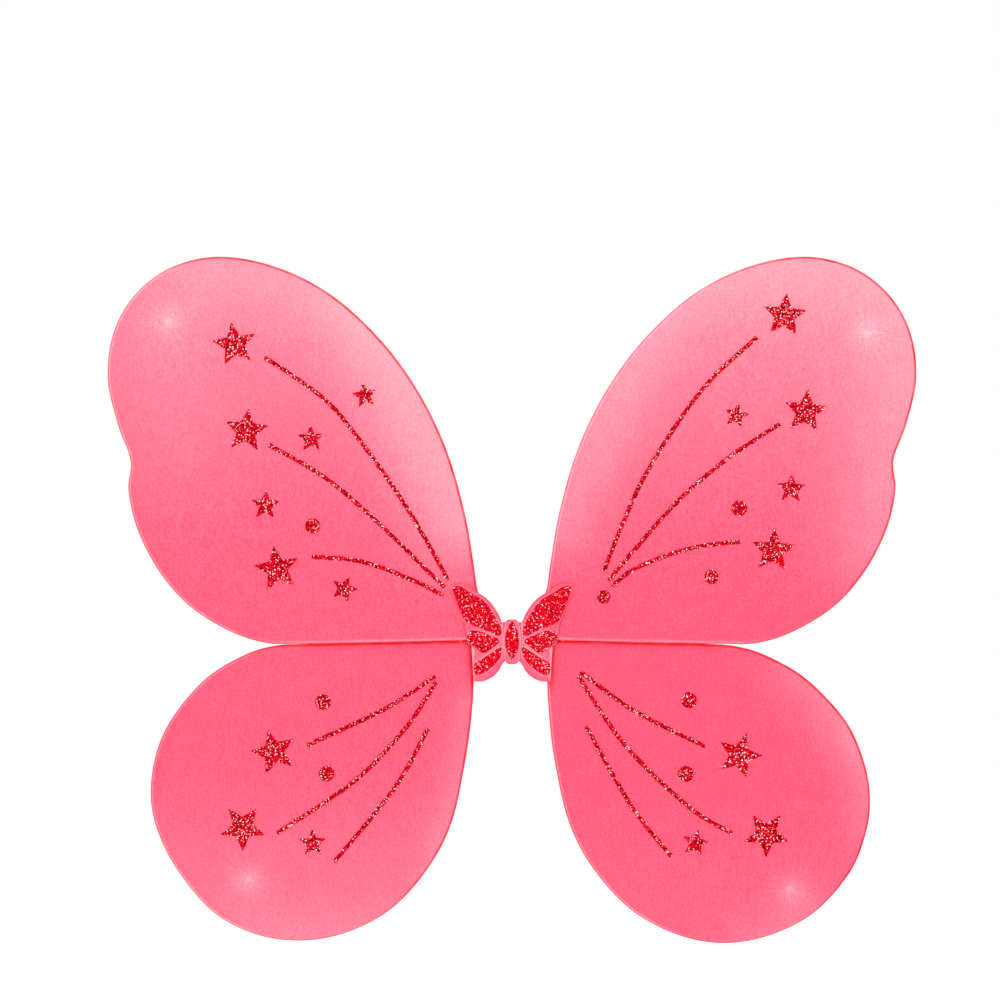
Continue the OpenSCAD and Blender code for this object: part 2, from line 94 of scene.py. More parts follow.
# Stars as (x, z, radius, clockwise tilt), dots as (x, z, radius), lines as points
PRINTS = {
    "left_upper": (
        [
            (-138.7, 147.8, 10.5, -9), (-73.7, 122.3, 6, -9), (-132.9, 104.7, 10.5, 6),
            (-100.5, 100.6, 6.5, -2), (-123.3, 67.4, 7, 2), (-117.3, 35.5, 10.8, -10),
            (-83.8, 25.5, 6.5, 19),
        ],
        [(-99.7, 57, 3.8)],
        [
            [(-123.7, 141.4), (-94.5, 121), (-77, 101), (-54.3, 68.8), (-37, 39.3), (-32.2, 29.8)],
            [(-121.6, 97.6), (-93, 80.8), (-66.4, 58.1), (-45, 37.3), (-33.8, 26.5)],
            [(-100.1, 41.6), (-75.7, 39.3), (-50.3, 30.2), (-34.2, 22.2)],
        ],
    ),
    "right_upper": (
        [
            (136.4, 162.3, 10.5, 5), (112.2, 112.3, 6, 11), (146.9, 114.3, 10.5, 6),
            (139.6, 75.7, 7, 3), (130.6, 44.7, 10.5, 4),
        ],
        [(113.6, 65.8, 3.9), (99.7, 31.5, 3.5), (45.9, 21.5, 3.3)],
        [
            [(122.6, 151.4), (99, 129.7), (80.3, 104.9), (64.3, 78.1), (50.9, 47.3), (46.2, 34.5)],
            [(133.9, 107.9), (109.8, 92.2), (84.3, 70.8), (60.3, 44), (48.5, 29.7)],
            [(113.9, 49.1), (89.7, 46), (63, 36.4), (50, 26.8)],
        ],
    ),
    "left_lower": (
        [(-119.1, -56, 10.8, -16), (-134.7, -93.9, 11, 36), (-99.7, -101.6, 6.5, -2)],
        [(-94.4, -31.1, 3.9), (-92.7, -66.9, 3.9)],
        [
            [(-38.5, -18.2), (-63.2, -34.3), (-102.6, -52.8)],
            [(-38, -21), (-54, -45.1), (-79.3, -71), (-117.5, -96.6)],
            [(-42.2, -44.5), (-58.6, -73.8), (-89, -111.1)],
        ],
    ),
    "right_lower": (
        [(113.7, -57.8, 10.8, 18), (127.3, -97.2, 11, 36), (91.8, -101.6, 6.5, 11)],
        [(88.6, -30.2, 3.9), (87, -67, 3.9)],
        [
            [(34.3, -16), (60.9, -35.2), (96.6, -53.4)],
            [(33.1, -17.9), (56.4, -52.5), (88.8, -83.8), (110, -96.6)],
            [(37.1, -43.4), (59.8, -83.2), (79.5, -108.1)],
        ],
    ),
}
STAR_WAIST = 0.46
STAR_SPREAD = 1.06
LOBE_SPREAD = 0.3
LINE_W = 2.0

# Patch, right half
UPPER_PATCH = [
    (5, 9), (7.5, 14.4), (12, 20.2), (18, 24.3), (25, 28.2), (30.4, 27.4),
    (29.8, 22.8), (27.6, 18.2), (25.9, 13), (23.8, 8), (23.2, 3), (22.2, -1.7),
]
PATCH_CUT = [
    (1.6, -2.5), (5, -2.5), (6.6, -2.8), (10, -5.3), (14, -7.3), (17.3, -5.6), (20.2, -3.2),
]
CUT_GAP = 0.08
LOWER_PATCH = [(19.2, -20.6), (14.5, -20.6), (9.6, -18.3), (6.6, -15.2), (5, -12.2)]
UPPER_LOBE = [
    (29.4, 26), (26, 26.4), (21.7, 23.8), (14, 19), (8.6, 11.4), (5.6, 4.6), (7, 2.4),
    (12.5, 5), (22, 9), (24.8, 13), (27.4, 19.4),
]
MIDDLE_LOBE = [
    (6.6, -0.4), (11.6, 2.2), (16.4, 4.1), (21, 4.1), (22.2, 1.2), (20.4, -1.7), (17.2, -4.1),
    (14.2, -6.2), (10.6, -4.2),
]
LOWER_LOBE = [
    (5.5, -4), (9.6, -6.3), (14, -9.2), (18.2, -11.6), (18.8, -15), (17.4, -17.1),
    (13.6, -15.8), (9.4, -12.4), (6.3, -8.6),
]

# Arm loop as (outward, z) from above the pad round the arm and back below the pad
ARM_LOOP = [
    (0, 9.9), (0.6, 13.1), (6, 17.3), (17, 16.5), (30, -2), (42, -30), (47, -58), (44, -85),
    (33, -102), (20, -90), (11, -62), (4, -32), (0.3, -18), (0, -9.9),
]
LOOP_TURN = 45.0

# Painted sheen: how pale the cloth is everywhere, as (least, what is added by the far end, near z, far z)
PAINTED_SHEEN = {
    "left_upper": (0.08, 0.36, 10, 210), "right_upper": (0.04, 0.5, 10, 210),
    "left_lower": (0.07, 0.22, -50, -150), "right_lower": (0.03, 0.1, -60, -150),
}
# Painted highlights, where the cloth is paler still, as (start, end, width, amount)
GLOWS = {
    "left_upper": [
        ((-24, 62), (-72, 170), 27, 0.55), ((-60, 178), (-150, 190), 26, 0.28),
        ((-170, 135), (-165, 95), 24, 0.1),
    ],
    "right_upper": [
        ((24, 58), (72, 170), 20, 0.34), ((70, 184), (180, 186), 22, 0.3),
        ((204, 160), (186, 50), 30, 0.36),
    ],
    "left_lower": [
        ((-14, -36), (-36, -122), 14, 0.28), ((-60, -150), (-130, -150), 16, 0.16),
    ],
    "right_lower": [
        ((184, -54), (188, -90), 18, 0.38), ((150, -10), (174, -42), 20, 0.36),
        ((150, -138), (120, -156), 14, 0.22),
    ],
}
# Where each cover is pinched together, as (x, z, brightness of the painted highlight on the spot, width and
# strength of the painted pale halo round it)
SPOTS = {
    "left_upper": (-172.3, 159.5, 1.05, 14, 0.15), "right_upper": (178.0, 153.3, 1.1, 14, 0.05),
    "left_lower": (-132.3, -120.0, 1.3, 13, 0.08), "right_lower": (139.0, -124.8, 1.5, 13, 0.05),
}
RAY_REACH = 13
WAVE_SEEDS = {"left_upper": 1.3, "right_upper": 5.1, "left_lower": 9.7, "right_lower": 14.2}

# The cover stands this much further out than the wire asks for, and its rounded rim is this wide
ALLOWANCE = 0.26
BEAD = WIRE_INSET + ALLOWANCE

# How far each ring of points lies within an outline
RIM = (0, 0.08, 0.22, 0.4, 0.58, 0.76, 0.95, 1.15, 1.4, 1.7, 2.05, 2.5, 3.1, 3.9)
SLAB_RIM = (0, 0.06, 0.18, 0.34, 0.55)
BED_RIM = (0, 0.1, 0.26)

# Outlines that a leaf makes, as (half width, half height, middle, roundness)
BODY_LEAF = (4.4, 11.2, -0.8, 0.22)
LENS_LEAF = (3.4, 9.8, -0.2, 0.85)
GLUE_LEAF = (2.5, 5.6, 0, 0.3)

# Thread, and its turns round a cover's neck: where they start, how far they run, half their depth
THREAD_R, TACK_R = 0.2, 0.13
TIE_TURNS, TIE_START, TIE_RUN, TIE_DEPTH = 6, 7.05, 1.9, 1.08
TACK_ZIGZAGS, TACK_LENGTH = 22, 4.4

# A wire's leg from the cover's neck into the bundle, as (x, rise)
WIRE_LEG = [(5.0, 0.0), (3.6, 0.0), (2.7, 0.35), (2.0, 1.0), (1.6, 2.0), (1.5, 3.2)]
STRANDS = 6
TWIST_PITCH = 15.0

PAD_W, PAD_H, PAD_CORNER, STITCH_INSET = 50.0, 17.0, 6.0, 1.6
STRAP_W, STRAP_T = 6.0, 1.0
# The elastic twists between these heights above and below the middle of the pad
TWIST_LOW, TWIST_HIGH = 8.4, 13.2

# Working limits: points handled at a time, points averaged to each side
CHUNK = 2000
SHARE_WINDOW = 4

FLOOR_Z, FLOOR_REACH, FLOOR_RINGS, FLOOR_SPOKES = -420.0, 5000.0, 10, 64
# Metres from here on
LIGHT_TARGET = Vector((0, 0, 0.03))
VIEW_CENTRE = Vector((-0.006, 0, 0.070))
VIEW_WIDTH = 0.5
PRINT_DEPTH = -0.008
LENS, SENSOR = 135, 36

# ---------------------------------------------------------------- curves and outlines


def smooth(points, steps=8, closed=False):
    """Curve through the points, as the CAD draws it."""
    p = np.array(points, float)
    n = len(p)
    found = []
    for i in range(n if closed else n - 1):
        if closed:
            a, b, c, d = p[i - 1], p[i], p[(i + 1) % n], p[(i + 2) % n]
        else:
            a, b, c, d = p[max(i - 1, 0)], p[i], p[i + 1], p[min(i + 2, n - 1)]
        for t in np.arange(steps) / steps:
            found.append(
                (2 * b + (c - a) * t + (2 * a - 5 * b + 4 * c - d) * t**2
                 + (3 * b - a - 3 * c + d) * t**3) / 2
            )
    if not closed:
        found.append(p[-1])
    return np.array(found)


def resampled(path, gap, closed=False):
    """The same line with points about a gap apart."""
    p = np.vstack([path, path[:1]]) if closed else np.asarray(path, float)
    along = np.concatenate([[0], np.cumsum(np.linalg.norm(np.diff(p, axis=0), axis=1))])
    count = max(2, int(round(along[-1] / gap)))
    at = np.linspace(0, along[-1], count + 1)
    if closed:
        at = at[:-1]
    return np.column_stack([np.interp(at, along, p[:, k]) for k in range(p.shape[1])])


def left_normals(path, closed=False):
    """Unit vectors to the left of the path, which point inwards when it runs anticlockwise."""
    step = np.roll(path, -1, 0) - np.roll(path, 1, 0) if closed else np.gradient(path, axis=0)
    step = step / np.maximum(np.linalg.norm(step, axis=1), 1e-9)[:, None]
    return np.column_stack([-step[:, 1], step[:, 0]])


def moved_in(path, gap, closed=False):
    return path + left_normals(path, closed) * gap


def distance(points, path, closed=False):
    """Shortest distance from each point to the line."""
    a = path if closed else path[:-1]
    b = np.roll(path, -1, 0) if closed else path[1:]
    run = b - a
    length2 = np.maximum((run**2).sum(1), 1e-12)
    found = np.empty(len(points))
    for i in range(0, len(points), CHUNK):
        q = points[i:i + CHUNK, None, :] - a[None]
        t = np.clip((q * run).sum(2) / length2, 0, 1)
        found[i:i + CHUNK] = np.sqrt(((q - t[..., None] * run) ** 2).sum(2).min(1))
    return found


def inside(points, loop):
    """True for each point that lies inside the closed loop."""
    x, z = points[:, :1], points[:, 1:2]
    x1, z1 = loop[:, 0], loop[:, 1]
    x2, z2 = np.roll(x1, -1), np.roll(z1, -1)
    crosses = (z1 > z) != (z2 > z)
    at = x1 + (z - z1) * (x2 - x1) / np.where(z2 == z1, 1e-12, z2 - z1)
    return (crosses & (x < at)).sum(1) % 2 == 1


def signed_area(loop):
    x, z = loop[:, 0], loop[:, 1]
    return (np.dot(x, np.roll(z, -1)) - np.dot(z, np.roll(x, -1))) / 2


def anticlockwise(loop):
    return loop[::-1] if signed_area(loop) < 0 else loop


def filling(loop, spacing, margin, box=None, jitter=0.0, seed=None):
    """Points of a six-sided grid that lie in the loop and more than a margin from it."""
    box = loop if box is None else box
    lo, hi = box.min(0), box.max(0)
    rise = spacing * 0.866
    rows = []
    for k, z in enumerate(np.arange(lo[1], hi[1] + rise, rise)):
        x = np.arange(lo[0] + (k % 2) * spacing / 2, hi[0] + spacing, spacing)
        rows.append(np.column_stack([x, np.full(len(x), z)]))
    points = np.vstack(rows)
    if jitter:
        points += np.random.default_rng(seed).uniform(-jitter, jitter, points.shape)
    points = points[inside(points, loop)]
    return points[distance(points, loop, True) > margin]


def inset_share(path, depth, closed):
    """How much of the full inset each point of a path can take before it meets the far side."""
    share = np.full(len(path), 0.12)
    open_still = np.ones(len(path), bool)
    for trial in (0.2, 0.3, 0.4, 0.5, 0.6, 0.7, 0.8, 0.9, 1.0):
        reach = distance(moved_in(path, depth * trial, closed), path, closed)
        open_still &= reach >= 0.93 * depth * trial
        share[open_still] = trial
    for combine in (np.min, np.mean):
        padded = np.pad(share, SHARE_WINDOW, mode="wrap" if closed else "edge")
        nearby = [padded[i:i + len(share)] for i in range(2 * SHARE_WINDOW + 1)]
        share = combine(nearby, axis=0)
    return share


def ramp(value, low, high):
    """0 up to low, 1 from high on, and a smooth rise between them."""
    t = np.clip((value - low) / (high - low), 0, 1)
    return t * t * (3 - 2 * t)


def bell(value, width):
    """1 at zero, falling to almost nothing two widths away."""
    return np.exp(-((value / width) ** 2))


def fade(value, length):
    """1 up to zero, then dying away over a few lengths."""
    return np.exp(-np.maximum(value, 0) / length)


def round_edge(d, radius):
    """Height of a rounded edge at a distance from it, as a share of the full height."""
    return np.sqrt(np.clip(1 - (1 - np.minimum(d, radius) / radius) ** 2, 0, 1))


def wave(points, size, seed):
    """Soft noise from -1 to 1 over points of a plane."""
    return np.array([noise.noise(Vector((a / size, b / size, seed))) for a, b in points])


# ---------------------------------------------------------------- meshes


class Layer:
    """Flat mesh of one outline: rings along its edge and a triangle grid within them.

    An outline that isn't closed is a wing's, open at the neck. Fine lists places that need a
    closer grid, as (centre, radius, spacing).
    """

    def __init__(self, path, insets, spacing, closed=True, fine=()):
        n, share = len(path), inset_share(path, insets[-1], closed)
        rings = [path] + [
            path + left_normals(path, closed) * (d * share)[:, None] for d in insets[1:]
        ]
        inner = rings[-1]
        mouth = np.zeros((0, 2))
        if not closed:
            count = max(2, int(np.linalg.norm(inner[0] - inner[-1]) / spacing) + 1)
            t = (np.arange(1, count) / count)[:, None]
            mouth = inner[-1] + (inner[0] - inner[-1]) * t
        loop = np.vstack([inner, mouth])
        grid = filling(loop, spacing, 0.55 * spacing)
        for centre, radius, step in fine:
            box = np.array([np.subtract(centre, radius), np.add(centre, radius)])
            extra = filling(loop, step, 0.6 * step, box)
            extra = extra[np.linalg.norm(extra - centre, axis=1) < radius - 0.5]
            grid = np.vstack([grid[np.linalg.norm(grid - centre, axis=1) >= radius], extra])
        flat = np.vstack([loop, grid])
        found, _, tris, first, _, _ = delaunay_2d_cdt(
            [Vector(p) for p in flat], [], [list(range(len(loop)))], 1, 1e-5
        )
        # A point that stands for none of the given ones is where the outline crosses itself
        self.usable = all(first)
        start = (len(rings) - 1) * n
        at = [start + ids[0] if ids else None for ids in first]
        self.points = np.vstack(rings[:-1] + [flat])
        self.faces = [
            (k * n + i, k * n + (i + 1) % n, (k + 1) * n + (i + 1) % n, (k + 1) * n + i)
            for k in range(len(rings) - 1) for i in range(n if closed else n - 1)
        ]
        for t in tris:
            a, b, c = (found[i] for i in t[:3])
            turn = (b[0] - a[0]) * (c[1] - a[1]) - (b[1] - a[1]) * (c[0] - a[0])
            ids = [at[i] for i in t]
            self.faces.append(tuple(ids if turn > 0 else reversed(ids)))
        self.edge_count = n
        self.depth = distance(self.points, path, closed)


class Shape:
    """Points in millimetres and faces that become one mesh."""

    def __init__(self):
        self.points, self.faces, self.values, self.count = [], [], {}, 0

    def add(self, points, faces, **values):
        points = np.asarray(points, float)
        base = self.count
        self.faces.extend(tuple(i + base for i in f) for f in faces)
        self.points.append(points)
        for key, value in values.items():
            self.values.setdefault(key, []).append(np.broadcast_to(value, len(points)).astype(float))
        self.count += len(points)

    def add_two_sided(self, layer, front, back, **values):
        """A closed skin whose front and back share the layer's outer ring, which the front places."""
        n, m = layer.edge_count, len(layer.points)
        x, z = layer.points.T
        both = np.vstack([
            np.column_stack([x, front, z]), np.column_stack([x, back, z])[n:],
        ])
        twin = list(range(n)) + [i + m - n for i in range(n, m)]
        faces = list(layer.faces) + [tuple(twin[i] for i in reversed(f)) for f in layer.faces]
        doubled = {k: np.concatenate([v, v[n:]]) for k, v in values.items()}
        self.add(both, faces, **doubled)

    def build(self, name, material, side=1, shade_smooth=True):
        co = np.concatenate(self.points) * MM
        faces = self.faces
        if side < 0:
            co[:, 0] *= -1
            faces = [tuple(reversed(f)) for f in faces]
        mesh = bpy.data.meshes.new(name)
        mesh.from_pydata(co.tolist(), [], faces)
        for key, parts in self.values.items():
            mesh.attributes.new(key, "FLOAT", "POINT").data.foreach_set(
                "value", np.concatenate(parts).astype(np.float32)
            )
        mesh.polygons.foreach_set("use_smooth", [shade_smooth] * len(mesh.polygons))
        mesh.materials.append(material)
        mesh.update()
        piece = bpy.data.objects.new(name, mesh)
        bpy.context.scene.collection.objects.link(piece)
        return piece


def tube(path, radius, sides, taper_ends=False):
    """(points, faces) of a round tube along a path of 3-D points that doesn't start along Y."""
    path = np.asarray(path, float)
    n = len(path)
    along = np.gradient(path, axis=0)
    along /= np.maximum(np.linalg.norm(along, axis=1), 1e-9)[:, None]
    across = np.cross(along[0], (0.0, 1.0, 0.0))
    angles = 2 * math.pi * np.arange(sides) / sides
    rings = []
    for i in range(n):
        across = across - along[i] * (across @ along[i])
        across /= np.linalg.norm(across)
        other = np.cross(along[i], across)
        ring = np.outer(np.cos(angles), across) + np.outer(np.sin(angles), other)
        rings.append(path[i] + radius * ring)
    points = np.vstack(rings)
    faces = rows_of_faces(n, sides)
    if taper_ends:
        caps = np.vstack([path[0] - along[0] * radius * 0.6, path[-1] + along[-1] * radius * 0.6])
        points = np.vstack([points, caps])
        a, b, end = n * sides, n * sides + 1, (n - 1) * sides
        faces += [(a, (k + 1) % sides, k) for k in range(sides)]
        faces += [(b, end + k, end + (k + 1) % sides) for k in range(sides)]
    else:
        faces += flat_caps(n, sides)
    return points, faces


def rows_of_faces(rows, sides):
    """Faces between rings of points that follow each other."""
    return [
        (i * sides + k, i * sides + (k + 1) % sides,
         (i + 1) * sides + (k + 1) % sides, (i + 1) * sides + k)
        for i in range(rows - 1) for k in range(sides)
    ]


def flat_caps(rows, sides):
    return [tuple(reversed(range(sides))), tuple(range((rows - 1) * sides, rows * sides))]


def settle(piece, slot, *nodes, body=None):
    """Say which body a piece rides on and which CAD nodes it stands for. The slot is not used."""
    if body:
        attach(piece, body)
    if nodes:
        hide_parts(*nodes)


# ---------------------------------------------------------------- materials


def linear(r, g, b):
    """Shader colour of an sRGB colour that is given as 0 to 255."""
    def one(c):
        c /= 255
        return c / 12.92 if c <= 0.04045 else ((c + 0.055) / 1.055) ** 2.4
    return (one(r), one(g), one(b), 1.0)


class Paint:
    """One Principled material and the nodes that feed it."""

    def __init__(self, name, **sockets):
        self.material = bpy.data.materials.new(name)
        self.material.use_nodes = True
        self.tree = self.material.node_tree
        self.shader = self.tree.nodes["Principled BSDF"]
        for key, value in sockets.items():
            self.shader.inputs[key.replace("_", " ")].default_value = value
        self.place = self.node("ShaderNodeTexCoord").outputs["Object"]

    def node(self, kind, settings=None, **inputs):
        """A new node. An input is given by its name, or as i0, i1 and so on by its place."""
        made = self.tree.nodes.new(kind)
        for key, value in (settings or {}).items():
            setattr(made, key, value)
        for key, value in inputs.items():
            by_place = key[0] == "i" and key[1:].isdigit()
            self.feed(made.inputs[int(key[1:]) if by_place else key], value)
        return made

    def feed(self, socket, value):
        if isinstance(value, bpy.types.NodeSocket):
            self.tree.links.new(value, socket)
        else:
            socket.default_value = value

    def attribute(self, name):
        return self.node("ShaderNodeAttribute", {"attribute_name": name}).outputs["Fac"]

    def math(self, what, a, b, clamp=False):
        settings = {"operation": what, "use_clamp": clamp}
        return self.node("ShaderNodeMath", settings, i0=a, i1=b).outputs[0]

    def times(self, a, b):
        return self.math("MULTIPLY", a, b)

    def total(self, *values):
        """The sum of the values, kept from 0 to 1."""
        found = values[0]
        for value in values[1:-1]:
            found = self.math("ADD", found, value)
        return self.math("ADD", found, values[-1], True)

    def mapped(self, **inputs):
        """The object's own coordinates, turned or stretched."""
        return self.node("ShaderNodeMapping", None, Vector=self.place, **inputs).outputs[0]

    def noise(self, size, detail=2.0, rough=0.5, place=None):
        """Noise whose blobs are about this many millimetres across."""
        return self.node(
            "ShaderNodeTexNoise", None, Vector=place or self.place, Scale=1 / (size * MM),
            Detail=detail, Roughness=rough,
        ).outputs["Fac"]

    def stripes(self, pitch, axis, bend, place=None):
        """Bands a pitch in millimetres apart, across the axis."""
        return self.node(
            "ShaderNodeTexWave", {"wave_type": "BANDS", "bands_direction": axis},
            Vector=place or self.place, Scale=2 * math.pi / (20 * pitch * MM), Distortion=bend,
        ).outputs["Fac"]

    def colours(self, value, stops, hard=False):
        """Colours of a value, from stops of (value, red, green, blue)."""
        found = self.node("ShaderNodeValToRGB", None, Fac=value)
        band = found.color_ramp
        band.interpolation = "CONSTANT" if hard else "LINEAR"
        while len(band.elements) < len(stops):
            band.elements.new(0.5)
        for element, (at, *colour) in zip(band.elements, stops):
            element.position, element.color = at, linear(*colour)
        return found.outputs["Color"]

    def mix(self, share, a, b):
        found = self.node("ShaderNodeMix", {"data_type": "RGBA"})
        for place, value in ((0, share), (6, a), (7, b)):
            self.feed(found.inputs[place], value)
        return found.outputs[2]

    def span(self, value, low, high):
        """The value from 0 to 1 spread over another range."""
        return self.node("ShaderNodeMapRange", None, Value=value, i3=low, i4=high).outputs[0]

    def bump(self, height, depth, strength):
        return self.node(
            "ShaderNodeBump", None, Height=height, Distance=depth * MM, Strength=strength
        ).outputs["Normal"]

    def finish(self, colour, roughness, normal):
        """Feed the shader and hand over the material."""
        for socket, value in (("Base Color", colour), ("Roughness", roughness), ("Normal", normal)):
            self.feed(self.shader.inputs[socket], value)
        return self.material


# Colours of the mesh and of the patch's fabric, from the deepest pink to the palest
PINK_TONES = [(0.0, 226, 68, 98), (0.33, 228, 102, 125), (0.67, 231, 138, 153), (1.0, 236, 176, 184)]


def stretch_mesh():
    p = Paint("stretch_mesh", Roughness=0.5, Specular_IOR_Level=0.2, Sheen_Weight=0.05,
              Sheen_Roughness=0.4, Sheen_Tint=(1.0, 0.62, 0.7, 1.0))
    grain = p.noise(1.0, 2.0, 0.6)
    drawn = p.mapped(Rotation=(0.0, 0.35, 0.0), Scale=(1.0, 1.0, 0.22))
    knit = p.times(p.stripes(0.62, "X", 0.6), p.stripes(0.5, "Z", 0.6))
    # pale carries the painted sheen and highlights as well as the cloth's own tone
    tone = p.total(
        p.attribute("pale"), p.span(p.noise(9.0, 3.0), -0.06, 0.06), p.span(grain, -0.26, 0.26),
        p.span(p.noise(0.8, 2.0, 0.5, drawn), -0.12, 0.12), p.span(knit, -0.02, 0.05),
    )
    # edge turns the cloth red: rim lines, partly doubled cloth and partly painted shade, and painted shadows
    # at the seam and beside the patch
    colour = p.mix(p.attribute("edge"), p.colours(tone, PINK_TONES), linear(226, 0, 30))
    return p.finish(
        colour, p.span(grain, 0.42, 0.6), p.bump(p.math("ADD", knit, p.times(grain, 0.8)), 0.05, 0.7)
    )


def glitter(name, dark, light):
    """Glue full of foil flakes. The shares of dark and of light flakes are given."""
    p = Paint(name, Metallic=0.6, Roughness=0.35, Specular_IOR_Level=0.05)
    colour = p.colours(p.attribute("tint"), [
        (0.0, 48, 0, 5), (dark * 0.45, 124, 0, 12), (dark, 198, 2, 24), (dark + 0.14, 240, 2, 30),
        (0.76 - light * 0.5, 246, 18, 46), (1 - light, 252, 118, 138), (1 - light * 0.62, 255, 236, 240),
    ], True)
    grain = p.noise(0.3, 1.0)
    colour = p.mix(p.span(grain, -0.1, 0.3), colour, linear(170, 0, 18))
    return p.finish(colour, p.span(grain, 0.2, 0.5), p.bump(grain, 0.03, 0.5))


def patch_fabric():
    p = Paint("patch_fabric", Roughness=0.7, Specular_IOR_Level=0.2, Sheen_Weight=0.08,
              Sheen_Roughness=0.5, Sheen_Tint=(1.0, 0.75, 0.8, 1.0))
    fibre = p.noise(0.5, 3.0, 0.65)
    # pale carries the painted highlights as well as the fabric's own tone
    tone = p.total(
        p.attribute("pale"), p.span(fibre, -0.3, 0.3), p.span(p.noise(2.4, 2.0), -0.22, 0.22)
    )
    # edge reddens the free edges and holds the painted shade at the middle lobe's tip
    colour = p.mix(p.attribute("edge"), p.colours(tone, PINK_TONES), linear(228, 14, 50))
    weave = p.times(p.stripes(0.42, "X", 1.0), p.stripes(0.42, "Z", 1.0))
    return p.finish(
        colour, p.span(fibre, 0.6, 0.85), p.bump(p.math("ADD", fibre, p.times(weave, 0.6)), 0.09, 0.8)
    )


def felt():
    p = Paint("felt", Roughness=0.92, Sheen_Weight=0.6, Sheen_Roughness=0.55,
              Sheen_Tint=(1.0, 0.6, 0.7, 1.0))
    fibre = p.noise(0.35, 5.0, 0.7, p.mapped(Scale=(0.5, 1.0, 1.6)))
    tone = p.total(p.times(fibre, 0.7), p.times(p.noise(4.0, 3.0), 0.4))
    colour = p.colours(tone, [(0.25, 205, 38, 78), (0.5, 232, 74, 110), (0.8, 246, 134, 158)])
    return p.finish(colour, p.span(fibre, 0.82, 1.0), p.bump(fibre, 0.22, 0.9))


def elastic():
    p = Paint("elastic", Roughness=0.62, Sheen_Weight=0.3, Sheen_Roughness=0.4)
    band = p.node(
        "ShaderNodeCombineXYZ", None, X=p.attribute("along"), Y=p.attribute("across"), Z=0.0
    ).outputs[0]
    fibre = p.noise(0.3, 2.0)
    weave = p.times(p.stripes(0.75, "X", 0.4, band), p.stripes(0.95, "Y", 0.2, band))
    tone = p.total(p.times(weave, 0.5), p.times(fibre, 0.35), p.times(p.noise(6.0, 2.0), 0.2))
    colour = p.colours(tone, [(0.1, 196, 186, 188), (0.45, 228, 221, 221), (0.85, 246, 243, 242)])
    normal = p.bump(weave, 0.16, 0.8)
    p.tree.links.new(p.bump(fibre, 0.04, 0.6), normal.node.inputs["Normal"])
    return p.finish(colour, p.span(fibre, 0.5, 0.75), normal)


def thread(name, dark, light):
    p = Paint(name, Roughness=0.5, Sheen_Weight=0.2)
    ply = p.stripes(0.3, "DIAGONAL", 0.5, p.mapped(Rotation=(0.6, 0.7, 0.5)))
    fibre = p.noise(0.2, 2.0)
    tone = p.total(p.times(ply, 0.6), p.times(fibre, 0.4))
    colour = p.colours(tone, [(0.15, *dark), (0.75, *light)])
    return p.finish(colour, p.span(fibre, 0.4, 0.65), p.bump(ply, 0.05, 0.7))


def steel():
    p = Paint("steel_wire", Metallic=1.0, Roughness=0.3)
    scratch = p.noise(0.4, 4.0, 0.7)
    tone = p.total(p.times(scratch, 0.5), p.times(p.noise(2.5, 2.0), 0.5))
    colour = p.colours(tone, [(0.3, 128, 128, 132), (0.7, 196, 196, 200)])
    return p.finish(colour, p.span(scratch, 0.2, 0.48), p.bump(scratch, 0.02, 0.5))


def glue():
    p = Paint("hot_glue", Roughness=0.22, IOR=1.48, Coat_Weight=0.4)
    cloud = p.noise(1.6, 3.0)
    colour = p.colours(cloud, [(0.3, 214, 198, 160), (0.7, 240, 231, 205)])
    return p.finish(colour, p.span(cloud, 0.15, 0.35), p.bump(cloud, 0.2, 0.5))


def floor_paint():
    p = Paint("studio_floor", Roughness=0.9, Emission_Color=(1.0, 1.0, 1.0, 1.0), Emission_Strength=0.3)
    colour = p.colours(p.noise(400.0, 2.0), [(0.3, 232, 232, 232), (0.7, 238, 238, 238)])
    p.feed(p.shader.inputs["Base Color"], colour)
    return p.material


MESH = stretch_mesh()
GLITTER = glitter("glitter_print", 0.46, 0.11)
PATCH_GLITTER = glitter("glitter_lobes", 0.28, 0.09)
PATCH = patch_fabric()
FELT = felt()
ELASTIC = elastic()
PINK_THREAD = thread("pink_thread", (214, 40, 84), (244, 104, 140))
WHITE_THREAD = thread("white_thread", (208, 200, 202), (247, 244, 244))
STEEL = steel()
GLUE = glue()

# ---------------------------------------------------------------- the wings


